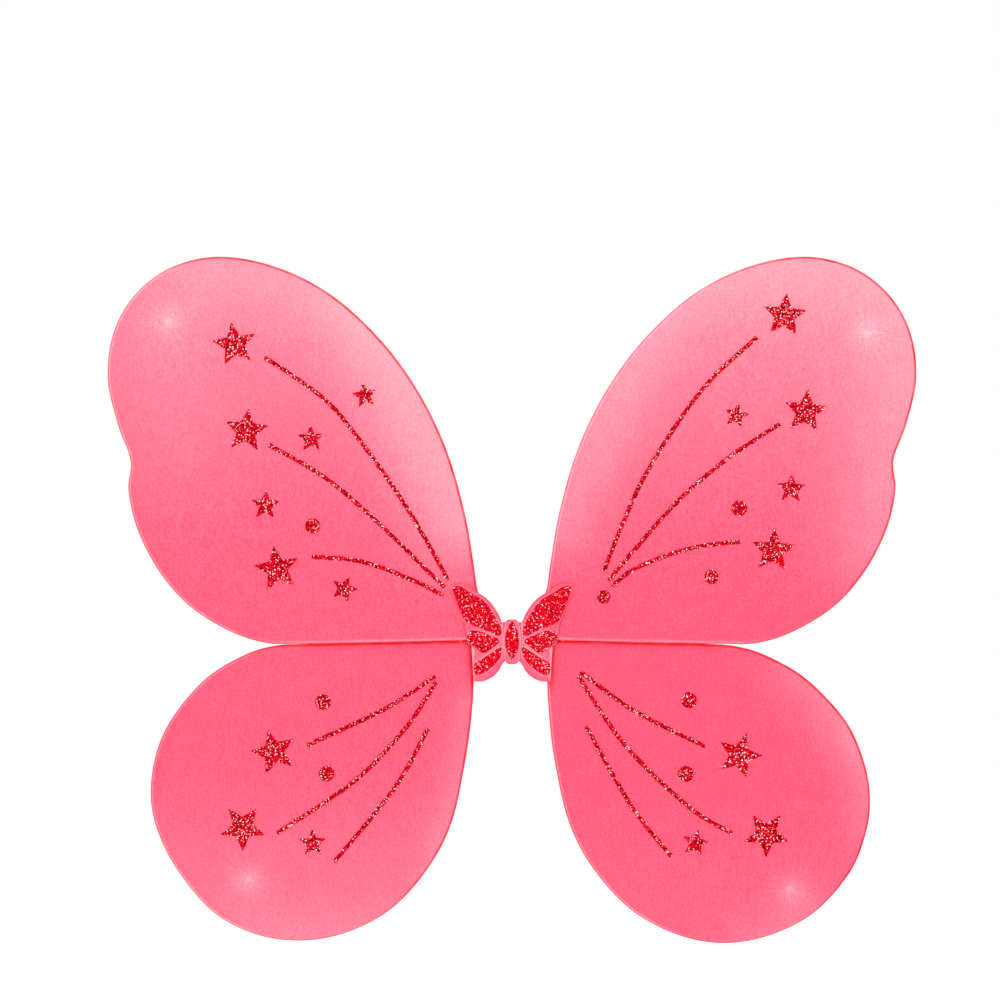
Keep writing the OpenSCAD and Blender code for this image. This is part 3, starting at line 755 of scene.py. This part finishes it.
class Wing:
    """One wing: where its cover's two layers lie, and what is built on them."""

    def __init__(self, side, level, edge):
        self.side = -1 if side == "left" else 1
        self.upper = level == "upper"
        self.key = f"{side}_{level}"
        self.body = f"{self.key}_wing"
        self.y = UPPER_Y if self.upper else LOWER_Y
        self.cad_outline = resampled(smooth(edge), 1.5)
        self.outline = moved_in(self.cad_outline, -ALLOWANCE)
        self.outline[:, 0] = np.maximum(self.outline[:, 0], NECK_X)
        self.outline[0, 0] = self.outline[-1, 0] = NECK_X
        self.seed = WAVE_SEEDS[self.key]
        x, z, self.brightness, self.halo_width, self.halo = SPOTS[self.key]
        self.spot = np.array([abs(x), z])

    def half(self, p):
        """Half the gap between the layers' outer faces at points of the right-hand plane."""
        d = distance(p, self.outline)
        taut = COVER_TAUT + (COVER_HALF - COVER_TAUT) * bell(d - BEAD, 1.1)
        found = np.where(d < BEAD, COVER_HALF * round_edge(d, BEAD), taut)
        found = found - 0.14 * (1 - fade(d - 4, 22))
        r, angle = self.from_spot(p)
        folds = 0.1 * (self.rays(angle) - 0.5) + 0.03 * np.cos(7 * angle + 2)
        found = found * (1 - 0.62 * bell(r, 3.2)) + folds * np.minimum(r / 5, 1) * bell(r, RAY_REACH)
        gather = fade(p[:, 0] - NECK_X, 9) * ramp(d, 0.3, 1.6)
        found = found - gather * (0.16 + 0.14 * np.cos(p[:, 1] * 4.4))
        return np.where(d < 1e-6, 0, np.maximum(found, 0.0))

    def sway(self, p):
        """How far both layers drift from the wire's plane together."""
        soft = ramp(distance(p, self.outline), 4, 30) * ramp(p[:, 0], 24, 70)
        return (0.34 * wave(p, 46, self.seed) + 0.12 * wave(p, 17, self.seed)) * soft

    def front(self, p):
        return self.y + self.sway(p) - self.half(p)

    def from_spot(self, p):
        """(distance, angle) from the pinched spot."""
        away = p - self.spot
        return np.hypot(away[:, 0], away[:, 1]), np.arctan2(away[:, 1], away[:, 0])

    def rays(self, angle):
        """Uneven folds that run out from the pinched spot, from 0 to 1."""
        return 0.5 + 0.5 * np.cos(23 * angle + 1.6 * np.sin(2 * angle + self.seed) + np.sin(5 * angle))

    def pale(self, p):
        """Painted sheen and highlights: how pale the cloth is, away from its edge."""
        least, more, near, far = PAINTED_SHEEN[self.key]
        missing = 1 - least - more * ramp(p[:, 1], near, far)
        real = p * (self.side, 1)
        for start, end, width, amount in GLOWS[self.key]:
            a, b = np.array(start, float), np.array(end, float)
            run = b - a
            t = np.clip(((real - a) @ run) / (run @ run), 0, 1)
            away = np.linalg.norm(real - a - t[:, None] * run, axis=1)
            missing = missing * (1 - amount * bell(away, width))
        # Painted pale halo round the pinched spot, with a painted highlight and bright streaks at it
        r, angle = self.from_spot(p)
        missing = missing * (1 - self.halo * bell(r, self.halo_width))
        rays = (self.rays(angle) - 0.35) * (0.7 + 0.6 * wave(p, 4, self.seed))
        glow = 0.16 * bell(r, 1.7) + 0.17 * bell(r, 7)
        return 1 - missing + self.brightness * glow + 0.2 * rays * ramp(r, 1, 5) * bell(r, RAY_REACH)

    def rim(self, p, d):
        """(red, pale) lines along the edge, painted as if lit from the left. The edges that look left get a
        painted highlight; the others are red, partly the doubled cloth round the wire and partly painted
        shade.
        """
        red, pale = np.zeros(len(p)), np.zeros(len(p))
        near = np.where(d < 9)[0]
        closest = np.empty(len(near), int)
        for i in range(0, len(near), CHUNK):
            gap = p[near[i:i + CHUNK], None, :] - self.outline[None]
            closest[i:i + CHUNK] = (gap**2).sum(2).argmin(1)
        normal = -left_normals(self.outline)[closest]
        looks_left = ramp(-normal[:, 0] * self.side, 0.05, 0.6)
        looks_down = ramp(-normal[:, 1], 0.5, 0.9)
        x, e = p[near, 0], d[near]
        uneven = 0.8 + 0.35 * wave(p[near], 6.0, self.seed)
        line = (1 - ramp(e, 0.9, 1.35)) * (1 - 0.45 * looks_left) * (1 - 0.5 * looks_down)
        glint = ramp(e, 0.4, 0.6) * (1 - ramp(e, 1.05, 1.5)) * np.maximum(0.75 * looks_left, 0.3 * looks_down)
        # Along the seam between the covers: painted shade at the upper cover's very edge and a painted
        # highlight on its bead, and on the lower cover a painted shadow of the upper one
        if self.upper:
            seam = looks_down * (1 - ramp(x, 112, 130)) * ramp(x, 20, 24)
            shade, shine = 0.8 * (1 - ramp(e, 0.25, 0.7)), 0.5 * (1 - ramp(e, 0.9, 2.0))
        else:
            seam = ramp(normal[:, 1], 0.7, 0.95) * (1 - ramp(x, 96, 112)) * ramp(x, 20, 24)
            shade, shine = 0.85 * (1 - ramp(e, 0.8, 1.8)) + 0.4 * fade(e - 1.2, 2), 0
        red[near] = np.clip((line * (1 - seam) + shade * seam) * uneven, 0, 1)
        pale[near] = (glint * (1 - seam) + shine * seam) * uneven
        if not self.upper:
            red = np.clip(np.maximum(red, self.beside_patch(p)), 0, 1)
        return red, pale

    def beside_patch(self, p):
        """Painted shadow: redness of the lower cover in the shade of the patch's slanting outer edge and
        round the middle lobe's tip.
        """
        x, z = p.T
        (x1, z1), (x2, z2) = PATCH_CUT[-1], LOWER_PATCH[0]
        out = x - x1 - (np.clip(z, z2, z1) - z1) / (z2 - z1) * (x2 - x1)
        strip = (0.95 * (1 - ramp(out, 0.8, 1.8)) + 0.5 * fade(out - 1.0, 1.6)) * ramp(z, -30, -19)
        corner = 0.9 * bell(np.hypot((x - 22) / 3.0, (z + 1.8) / 2.0), 1)
        return (1.0 if self.side < 0 else 0.5) * np.maximum(strip, corner)

    def make_cover(self):
        fine = [(self.spot, 17, 1.0)]
        if not self.upper:
            fine.append(((21, -11), 10, 0.6))  # beside the patch
        layer = Layer(self.outline, RIM, 2.6, closed=False, fine=fine)
        p = layer.points
        half, sway = self.half(p), self.sway(p)
        half[:layer.edge_count] = 0
        red, glint = self.rim(p, layer.depth)
        shape = Shape()
        shape.add_two_sided(
            layer, self.y + sway - half, self.y + sway + half,
            pale=np.clip(self.pale(p) + glint, 0, 1), edge=red,
        )
        piece = shape.build(f"{self.key}_cover", MESH, self.side)
        settle(piece, "mesh", f"{self.key}_mesh", body=self.body)

    def make_wire(self):
        path = moved_in(self.cad_outline, WIRE_INSET)
        up = -1 if self.upper else 1
        ends = [
            np.array([(x, z + up * rise) for x, rise in WIRE_LEG]) for z in (path[0, 1], path[-1, 1])
        ]
        flat = resampled(smooth(np.vstack([ends[0][::-1], path, ends[1]]), 3), 1.4)
        y = BUNDLE_Y + (self.y - BUNDLE_Y) * ramp(flat[:, 0], 1.5, 4.5)
        shape = Shape()
        shape.add(*tube(np.column_stack([flat[:, 0], y, flat[:, 1]]), WIRE_R, 10))
        piece = shape.build(f"{self.key}_wire_loop", STEEL, self.side)
        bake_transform(piece)
        settle(piece, "wire", f"{self.key}_wire")

    def make_tie(self):
        """Thread wound round the cover's neck, in a rounded square."""
        quarter = len(self.outline) // 4
        lower, upper = self.outline[:quarter].T, self.outline[:-quarter:-1].T
        rows = []
        for t in np.linspace(0, TIE_TURNS, TIE_TURNS * 40 + 1):
            x = TIE_START + TIE_RUN * t / TIE_TURNS
            low, high = np.interp(x, *lower), np.interp(x, *upper)
            a = 2 * math.pi * t
            c, s = math.cos(a), math.sin(a)
            square = (abs(c) ** 5 + abs(s) ** 5) ** (-1 / 5)
            deep, tall = TIE_DEPTH + 0.04 * math.sin(9 * a), (high - low) / 2 + 0.02
            rows.append((x, self.y + deep * c * square, (low + high) / 2 + tall * s * square))
        shape = Shape()
        shape.add(*tube(rows, THREAD_R, 6, taper_ends=True))
        piece = shape.build(f"{self.key}_neck_thread", PINK_THREAD, self.side)
        settle(piece, "thread", f"{self.key}_root_tie", body=self.body)

    def make_prints(self):
        stars, dots, lines = PRINTS[self.key]
        loops = []
        for x, z, r, tilt in stars:
            a = np.radians(90 - tilt + 36 * np.arange(10))
            reach = r * STAR_SPREAD * np.where(np.arange(10) % 2 == 0, 1, STAR_WAIST)
            loops.append(np.column_stack([x + reach * np.cos(a), z + reach * np.sin(a)]))
        for x, z, r in dots:
            a = np.linspace(0, 2 * math.pi, 24, endpoint=False)
            loops.append(np.column_stack([x + r * np.cos(a), z + r * np.sin(a)]))
        for line in lines:
            path = smooth(line)
            loops.append(np.vstack([moved_in(path, -LINE_W / 2), moved_in(path, LINE_W / 2)[::-1]]))
        shape = Shape()
        for i, loop in enumerate(loops):
            loop = loop * (self.side, 1)
            if self.side < 0:
                loop = loop[::-1]
            add_glitter(shape, loop, self.front, 0.22, seed=100 * i + int(self.seed * 10))
        piece = shape.build(f"{self.key}_print", GLITTER, self.side, shade_smooth=False)
        settle(piece, "glitter", f"{self.key}_glitter", body=self.body)


def add_glitter(shape, loop, surface, thick, seed, pitch=0.47, ragged=0.16, bottom=0.12):
    """A thin bed of glue in the loop's outline, with foil flakes lying on it at all tilts."""
    loop = anticlockwise(loop)
    rng = np.random.default_rng(seed)
    even = resampled(loop, 0.6, True)
    edge = even + rng.uniform(-ragged, ragged, even.shape)
    layer = Layer(edge, BED_RIM, 1.3)
    if not layer.usable:
        edge, layer = even, Layer(even, BED_RIM, 1.3)
    level = surface(layer.points)
    front = level - thick * round_edge(layer.depth, BED_RIM[-1])
    front[:layer.edge_count] = level[:layer.edge_count] + 0.02
    shape.add_two_sided(layer, front, level + bottom, tint=np.full(len(level), 0.62))
    spots = filling(edge, pitch, 0.04, None, pitch * 0.3, seed + 1)
    n = len(spots)
    r = rng.uniform(0.5, 0.72, (n, 1)) * pitch
    angle = 2 * math.pi * np.arange(6) / 6 + rng.uniform(0, math.pi, (n, 1))
    c, w = np.cos(angle) * r, np.sin(angle) * r
    toward = rng.uniform(0, 2 * math.pi, (n, 1))
    tilt = np.tan(rng.uniform(0, 0.45, (n, 1))) * (c * np.cos(toward) + w * np.sin(toward))
    y = surface(spots)[:, None] - thick - rng.uniform(0.03, 0.12, (n, 1))
    corners = np.stack([spots[:, :1] + c, y + tilt, spots[:, 1:] + w], axis=2)
    roots = np.column_stack([spots[:, 0], y[:, 0] + 0.16, spots[:, 1]])[:, None]
    one = [tuple(range(6))] + [(6, (k + 1) % 6, k) for k in range(6)]
    faces = [tuple(i + 7 * k for i in f) for k in range(n) for f in one]
    points = np.concatenate([corners, roots], axis=1).reshape(-1, 3)
    shape.add(points, faces, tint=np.repeat(rng.uniform(0.02, 1.0, n), 7))


WINGS = [
    Wing("left", "upper", UPPER_EDGE), Wing("right", "upper", UPPER_EDGE),
    Wing("left", "lower", LEFT_LOWER_EDGE), Wing("right", "lower", RIGHT_LOWER_EDGE),
]
for wing in WINGS:
    wing.make_wire()
    wing.make_cover()
    wing.make_tie()
    wing.make_prints()

# ---------------------------------------------------------------- the butterfly patch


def pressed_back(p):
    """How far the patch's tips sink back towards the cloth that they are glued to."""
    return 0.75 * ramp(p[:, 0], 18, 27)


def grown(points):
    """A lobe's closed outline, with the width that its glue spreads out to."""
    loop = smooth(points, 6, True)
    return moved_in(loop, -LOBE_SPREAD * math.copysign(1, signed_area(loop)), True)


def patch_half(side, level):
    """Fabric of one wing's part of the patch, running in under the butterfly's body."""
    upper = level == "upper"
    cut = np.array(PATCH_CUT, float)
    if upper:
        loop = np.vstack([cut + (0, CUT_GAP / 2), smooth(UPPER_PATCH, 6)[::-1], [(1.6, 9.0)]])
        lobes = [grown(UPPER_LOBE), grown(MIDDLE_LOBE)]
    else:
        loop = np.vstack([
            [(1.6, -10.5), (3.6, -10.5)], smooth(LOWER_PATCH, 6)[::-1], cut[::-1] - (0, CUT_GAP / 2),
        ])
        lobes = [grown(LOWER_LOBE)]
    loop = resampled(anticlockwise(loop), 0.45, True)
    layer = Layer(loop, SLAB_RIM, 0.5)
    p, d = layer.points, layer.depth
    x, z = p.T
    near = np.min([distance(p, lobe, True) for lobe in lobes], axis=0)
    near = np.where(np.any([inside(p, lobe) for lobe in lobes], axis=0), 0, near)
    from_cut = distance(p, cut)

    middle, half = (PATCH_FRONT + PATCH_BACK) / 2, (PATCH_BACK - PATCH_FRONT) / 2
    pressed = pressed_back(p) if upper else 0 * x
    bevel = 0.3 + (0.6 * ramp(x, 17, 22) if upper else 0.0)
    groove = 0.12 * bell(near - 1.1, 0.35) * ramp(x, 5.2, 6.2)
    relief = groove - 0.1 * bell(near - 0.45, 0.3) + 0.03 * wave(p, 0.9, 3.0)
    front = middle + pressed - half * round_edge(d, bevel) + relief * ramp(d, 0.2, 0.7)
    front[:layer.edge_count] = (middle + 0.8 * pressed)[:layer.edge_count]
    back = middle + 0.6 * pressed + (half - 0.04) * round_edge(d, 0.3)

    # Painted highlights: pale lines on the ridges round the lobes, on the creases beside the body and along
    # the cut; on the lower piece a paler stretch between the lobes and a pale line at its outer edge
    uneven = 0.75 + 0.5 * wave(p, 2.2, 8.0)
    line = bell(near - 0.5, 0.3) * ramp(x, 4.6, 5.6) * (1 - 0.8 * ramp(x, 13, 22))
    crease_highlight = bell(x - 4.85, 0.4) * (1 - ramp(np.abs(z), 7.5, 10))
    seam = bell(from_cut, 0.5) * ramp(x, 4.5, 5.5) * (1 - 0.6 * ramp(x, 14, 18))
    pale = 0.12 + (0.55 * line + 0.5 * seam) * uneven + 0.7 * crease_highlight
    if upper:
        pale = pale - 0.02 * ramp(x, 15, 21)
    else:
        pale = pale + 0.08 * ramp(x, 12, 15) + 0.5 * ramp(x, 18.6, 19.1)
    rim = (1 - ramp(d, 0.4, 2.0)) * (1 - ramp(x, 17, 20)) * ramp(from_cut, 1, 3) * ramp(x, 5, 7)
    # Painted shade pooled round the middle lobe's tip
    tip_shade = 0.6 * bell(np.hypot((x - 22) / 1.2, (z + 1.9) / 1.4), 1)

    shape = Shape()
    shape.add_two_sided(layer, front, back, pale=np.clip(pale, 0, 1), edge=np.maximum(0.22 * rim, tip_shade))
    s = -1 if side == "left" else 1
    key = f"{side}_{level}"
    piece = shape.build(f"{key}_patch_fabric", PATCH, s)
    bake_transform(piece)
    settle(piece, "patch_fabric", f"{key}_patch")

    sparkle = Shape()
    for i, lobe in enumerate(lobes):
        def dome(q, lobe=lobe):
            return PATCH_FRONT + pressed_back(q) - 0.16 * ramp(distance(q, lobe, True), 0, 2.4)
        add_glitter(sparkle, lobe, dome, 0.26, seed=900 + 10 * i + (5 if side == "left" else 0),
                    pitch=0.45, ragged=0.06, bottom=0.3)
    piece = sparkle.build(f"{key}_patch_lobes", PATCH_GLITTER, s, shade_smooth=False)
    settle(piece, "glitter", f"{key}_patch_glitter", body=f"{key}_wing")


def leaf(half_w, half_h, z, roundness):
    """Outline that narrows towards its top and bottom: 0 is a rectangle and 1 a pointed lens."""
    t = -np.cos(np.linspace(0, math.pi, 37))
    right = np.column_stack([half_w * (1 - t * t) ** roundness, z + half_h * t])
    left = right[-2:0:-1] * (-1, 1)
    return np.vstack([right, left])


def body_piece():
    """The butterfly's body, over the inner edges of the four side pieces."""
    loop, lens = resampled(leaf(*BODY_LEAF), 0.4, True), leaf(*LENS_LEAF)
    layer = Layer(loop, SLAB_RIM, 0.45)
    p, d = layer.points, layer.depth
    near = np.where(inside(p, lens), 0, distance(p, lens, True))
    middle, half = (BODY_FRONT + BODY_BACK) / 2, (BODY_BACK - BODY_FRONT) / 2
    relief = 0.16 * bell(near - 0.8, 0.3) - 0.12 * ramp(BODY_LEAF[0] - np.abs(p[:, 0]), 0, 3)
    front = middle - half * round_edge(d, 0.5) + relief * ramp(d, 0.1, 0.6)
    front[:layer.edge_count] = middle
    back = middle + half * round_edge(d, 0.4)
    ends = ramp(np.abs(p[:, 1] + 0.8), 8.5, 10.5)
    # Painted highlights: a pale line round the lens and pale creases along the body's sides
    pale = 0.16 + 0.3 * bell(near - 0.5, 0.3) + 0.5 * (1 - ramp(d, 0.1, 0.7)) * (1 - ends)
    edge = 0.15 * (1 - ramp(d, 0.1, 1.2)) * ends
    shape = Shape()
    shape.add_two_sided(layer, front, back, pale=np.clip(pale, 0, 1), edge=edge)
    piece = shape.build("patch_body_fabric", PATCH)
    settle(piece, "patch_fabric", "patch_body", body="core")

    def dome(q):
        return BODY_FRONT - 0.12 - 0.2 * ramp(distance(q, lens, True), 0, 3)
    sparkle = Shape()
    add_glitter(sparkle, lens, dome, 0.26, seed=77, pitch=0.45, ragged=0.05, bottom=0.35)
    piece = sparkle.build("patch_body_lens", PATCH_GLITTER, shade_smooth=False)
    settle(piece, "glitter", "patch_body_glitter", body="core")


for side in ("left", "right"):
    for level in ("upper", "lower"):
        patch_half(side, level)
body_piece()

# ---------------------------------------------------------------- the core


def spiral(radius, angle, z):
    """Points round the upright axis of the wire bundle."""
    return np.column_stack([radius * np.cos(angle), BUNDLE_Y + radius * np.sin(angle), z])


def twisted_wires():
    """The wires' ends, twisted round one straight wire."""
    shape = Shape()
    for k in range(STRANDS):
        z = np.linspace(-9.5 + 0.4 * ((k + 1) % 3), 9.0 - 0.35 * (k % 3), 60)
        angle = 2 * math.pi * (k / STRANDS) + 2 * math.pi * (z / TWIST_PITCH)
        shape.add(*tube(spiral(1.72 + 0.06 * np.sin(z * 0.9 + k), angle, z), WIRE_R, 12))
    z = np.linspace(-8.8, 8.2, 30)
    shape.add(*tube(spiral(0 * z, z, z), 0.85, 12))
    settle(shape.build("twisted_wire_bundle", STEEL), "wire", "core_wire_twist", body="core")


def bound_thread():
    """Thread wound upwards round the bundle, then back down across itself."""
    shape = Shape()
    for radius, thick, turns, low, rise, way in (
        (2.98, 0.22, 15, -4.8, 6.2, 1), (3.12, 0.2, 3, 0.9, -5.2, -1),
    ):
        t = np.linspace(0, turns, turns * 28)
        path = spiral(radius, way * 2 * math.pi * t, low + rise * t / turns)
        shape.add(*tube(path, thick, 6, True))
    settle(shape.build("bound_thread", PINK_THREAD), "thread", "core_binding", body="core")


def glue_bead(name, node, y_front, y_back):
    """Lump of hot glue squeezed between the wires and a flat face."""
    layer = Layer(resampled(leaf(*GLUE_LEAF), 0.5, True), (0, 0.15, 0.4, 0.8), 0.8)
    middle, half = (y_front + y_back) / 2, (y_back - y_front) / 2
    lump = 1 + 0.1 * wave(layer.points, 1.7, y_front)
    swell = half * round_edge(layer.depth, 0.8) * np.minimum(lump, 1.0)
    swell[:layer.edge_count] = 0
    shape = Shape()
    shape.add_two_sided(layer, middle - swell, middle + swell)
    settle(shape.build(name, GLUE), "glue", node, body="core")


twisted_wires()
bound_thread()
glue_bead("front_glue_bead", "front_glue", BODY_BACK + 0.02, -8.2)
glue_bead("rear_glue_bead", "rear_glue", -5.3, PAD_FRONT)
for wing in WINGS:
    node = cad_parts[f"{wing.key}_patch_glue"]
    node.data.materials.clear()
    node.data.materials.append(GLUE)

# ---------------------------------------------------------------- the pad


def pad_loop(inset=0.0):
    w, h, r = PAD_W / 2 - inset, PAD_H / 2 - inset, PAD_CORNER - inset
    a = np.radians(np.arange(0, 91, 9))
    corners = []
    for k, (sx, sz) in enumerate(((1, -1), (1, 1), (-1, 1), (-1, -1))):
        turn = a + math.radians(90 * (k - 1))
        corners.append(np.column_stack([sx * (w - r) + r * np.cos(turn), sz * (h - r) + r * np.sin(turn)]))
    return np.vstack(corners)


def stitch_spans():
    """Start and end of each stitch round the pad."""
    line = resampled(pad_loop(STITCH_INSET), 0.2, True)
    step, length = 17, 12
    count = len(line) // step
    return [(line[i * step], line[(i * step + length) % len(line)]) for i in range(count)]


STITCHES = stitch_spans()


def felt_layer(name, node, y_front, y_back, outward, seed):
    """One layer of the pad. Outward is the way its open face looks: -1 to the front, 1 to the rear."""
    layer = Layer(resampled(pad_loop(), 0.7, True), (0, 0.1, 0.28, 0.5, 0.8, 1.2, 1.6, 2.0), 0.9)
    p, d = layer.points, layer.depth
    middle, half = (y_front + y_back) / 2, (y_back - y_front) / 2
    holes = np.zeros(len(p))
    for end in (end for span in STITCHES for end in span):
        holes = np.maximum(holes, bell(np.linalg.norm(p - end, axis=1), 0.55))
    dents = 0.2 * bell(d - STITCH_INSET, 0.5) + 0.2 * holes
    fuzz = 0.05 * wave(p, 1.1, seed) + 0.07 * wave(p, 5.0, seed)
    crown = half * round_edge(d, 0.8)
    open_face = middle + outward * (crown - (dents + 0.09 + fuzz) * ramp(d, 0.1, 0.8))
    inner_face = middle - outward * crown * 0.985
    front, back = (open_face, inner_face) if outward < 0 else (inner_face, open_face)
    front[:layer.edge_count] = middle
    shape = Shape()
    shape.add_two_sided(layer, front, back)
    piece = shape.build(name, FELT)
    settle(piece, "felt", node, body="core")


def pad_stitches(name, y, outward, *nodes):
    """Sewn stitches that dip into the felt at both ends."""
    shape = Shape()
    t = np.linspace(0, 1, 9)
    lift = np.sin(np.pi * t) ** 0.5 * 0.34 - 0.28
    for a, b in STITCHES:
        flat = a + (b - a) * t[:, None]
        path = np.column_stack([flat[:, 0], y + outward * lift, flat[:, 1]])
        shape.add(*tube(path, THREAD_R, 6, True))
    settle(shape.build(name, PINK_THREAD), "thread", *nodes, body="core")


def bar_tacks(name, y, outward, *nodes):
    """Two dense zigzag bars over each sewn end of the elastic."""
    shape = Shape()
    t = np.arange(TACK_ZIGZAGS + 1)
    zigzag = np.where(t % 2 == 0, -0.42, 0.42)
    y_line = np.full(len(t), y + outward * 0.06)
    for sx in (-1, 1):
        for sz in (-1, 1):
            for down in (3.0, 4.6):
                x = sx * STRAP_X - TACK_LENGTH / 2 + TACK_LENGTH * t / TACK_ZIGZAGS
                z = sz * (PAD_H / 2 - down) + zigzag
                shape.add(*tube(np.column_stack([x, y_line, z]), TACK_R, 6, True))
    settle(shape.build(name, WHITE_THREAD), "thread", *nodes, body="core")


felt_layer("front_felt_layer", "pad_front_felt", PAD_FRONT, FELT_JOINT, -1, 2.0)
felt_layer("rear_felt_layer", "back_pad", FELT_JOINT, 0.0, 1, 7.0)
pad_stitches("front_pad_stitches", PAD_FRONT + 0.2, -1, "pad_stitching")
pad_stitches("rear_pad_stitches", -0.2, 1)
bar_tacks("front_bar_tacks", PAD_FRONT + 0.04, -1, "strap_bartacks")
bar_tacks("rear_bar_tacks", -0.1, 1)

# ---------------------------------------------------------------- the arm loops


def strap_section():
    """(across, through) of the ribbed band's outline."""
    t = np.linspace(-1, 1, 31)
    rib = STRAP_T / 2 * (0.86 + 0.14 * np.abs(np.cos(t * math.pi * 3)))
    rib *= np.sqrt(np.clip(1 - np.abs(t) ** 14, 0, 1)) * 0.9 + 0.1
    across = t * STRAP_W / 2
    return np.vstack([np.column_stack([across, rib]), np.column_stack([across[::-1], -rib[::-1]])])


def arm_strap(side):
    """Elastic in three pieces: the loop, and its two ends, which twist where they enter the pad."""
    s = -1 if side == "left" else 1
    tuck = np.array([(0, 3.6), (0, 6.0), (0, 8.4)])
    path = np.vstack([tuck, smooth(ARM_LOOP, 10), tuck[::-1] * (1, -1)])
    path = resampled(smooth(path, 2), 1.1)
    turn = math.radians(LOOP_TURN)
    centre = np.column_stack([
        STRAP_X + path[:, 0] * math.cos(turn), STRAP_Y + path[:, 0] * math.sin(turn), path[:, 1],
    ])
    along = np.gradient(centre, axis=0)
    along /= np.linalg.norm(along, axis=1)[:, None]
    length = np.concatenate([[0], np.cumsum(np.linalg.norm(np.diff(centre, axis=0), axis=1))])
    n = len(centre)
    at_ends = np.minimum(np.arange(n), n - 1 - np.arange(n)) < n // 4
    height = np.abs(path[:, 1])
    turned = np.where(at_ends & (path[:, 0] < 3), ramp(height, TWIST_LOW, TWIST_HIGH), 1.0)
    angle = -turned * (math.pi / 2 - turn)
    wide = np.column_stack([np.cos(angle), np.sin(angle), np.zeros(n)])
    section = strap_section()
    m = len(section)
    rings = []
    for i in range(n):
        w = wide[i] - along[i] * (wide[i] @ along[i])
        w /= np.linalg.norm(w)
        through = np.cross(along[i], w)
        rings.append(centre[i] + np.outer(section[:, 0], w) + np.outer(section[:, 1], through))
    # The loop's piece starts and ends where the band has finished its twist
    half = n // 2
    top_end = int(np.argmax((height[:half] > TWIST_HIGH + 0.2) | (path[:half, 0] > 2.5))) + 1
    tail = np.arange(n - 1, half, -1)
    back_end = int(tail[np.argmax(height[tail] > TWIST_HIGH + 0.2)])
    for word, i0, i1 in (("top", 0, top_end), ("loop", top_end, back_end), ("bottom", back_end, n - 1)):
        count = i1 - i0 + 1
        shape = Shape()
        shape.add(
            np.vstack(rings[i0:i1 + 1]), rows_of_faces(count, m) + flat_caps(count, m),
            along=np.repeat(length[i0:i1 + 1], m) * MM, across=np.tile(section[:, 0], count) * MM,
        )
        piece = shape.build(f"{side}_strap_{word}", ELASTIC, s)
        if word == "loop":
            settle(piece, "elastic", f"{side}_strap", body=f"{side}_arm_loop")
        else:
            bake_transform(piece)
            settle(piece, "elastic", "strap_tabs")


arm_strap("left")
arm_strap("right")

# ---------------------------------------------------------------- studio


def studio_floor():
    """A flat disc, as rings of points round its middle."""
    points = [(0, 0, FLOOR_Z)]
    for k in range(1, FLOOR_RINGS + 1):
        for i in range(FLOOR_SPOKES):
            a = 2 * math.pi * i / FLOOR_SPOKES
            r = FLOOR_REACH * k / FLOOR_RINGS
            points.append((r * math.cos(a), r * math.sin(a), FLOOR_Z))
    faces = [(0, 1 + i, 1 + (i + 1) % FLOOR_SPOKES) for i in range(FLOOR_SPOKES)]
    for face in rows_of_faces(FLOOR_RINGS, FLOOR_SPOKES):
        a, b, c, d = (i + 1 for i in face)
        faces.append((a, d, c, b))
    shape = Shape()
    shape.add(points, faces)
    shape.build("studio_floor", floor_paint())


def area_light(name, place, power, size):
    data = bpy.data.lights.new(name, "AREA")
    data.energy, data.size = power, size
    lamp = bpy.data.objects.new(name, data)
    bpy.context.scene.collection.objects.link(lamp)
    lamp.location = place
    lamp.rotation_euler = (LIGHT_TARGET - Vector(place)).to_track_quat("-Z", "Y").to_euler()


studio_floor()
area_light("key", (-1.1, -1.9, 1.7), 26, 1.1)
area_light("fill", (1.6, -1.7, 0.4), 9, 1.4)
area_light("rear", (0.5, 2.2, 1.2), 14, 1.6)

world = bpy.data.worlds.new("studio")
world.use_nodes = True
world.node_tree.nodes["Background"].inputs["Color"].default_value = (1, 1, 1, 1)
world.node_tree.nodes["Background"].inputs["Strength"].default_value = 1.0
bpy.context.scene.world = world
bpy.context.scene.view_settings.view_transform = "Standard"

camera_data = bpy.data.cameras.new("camera")
camera_data.lens, camera_data.sensor_width = LENS, SENSOR
camera = bpy.data.objects.new("camera", camera_data)
bpy.context.scene.collection.objects.link(camera)
camera.location = VIEW_CENTRE + Vector((0, -VIEW_WIDTH * LENS / SENSOR + PRINT_DEPTH, 0))
camera.rotation_euler = (math.pi / 2, 0, 0)
bpy.context.scene.camera = camera
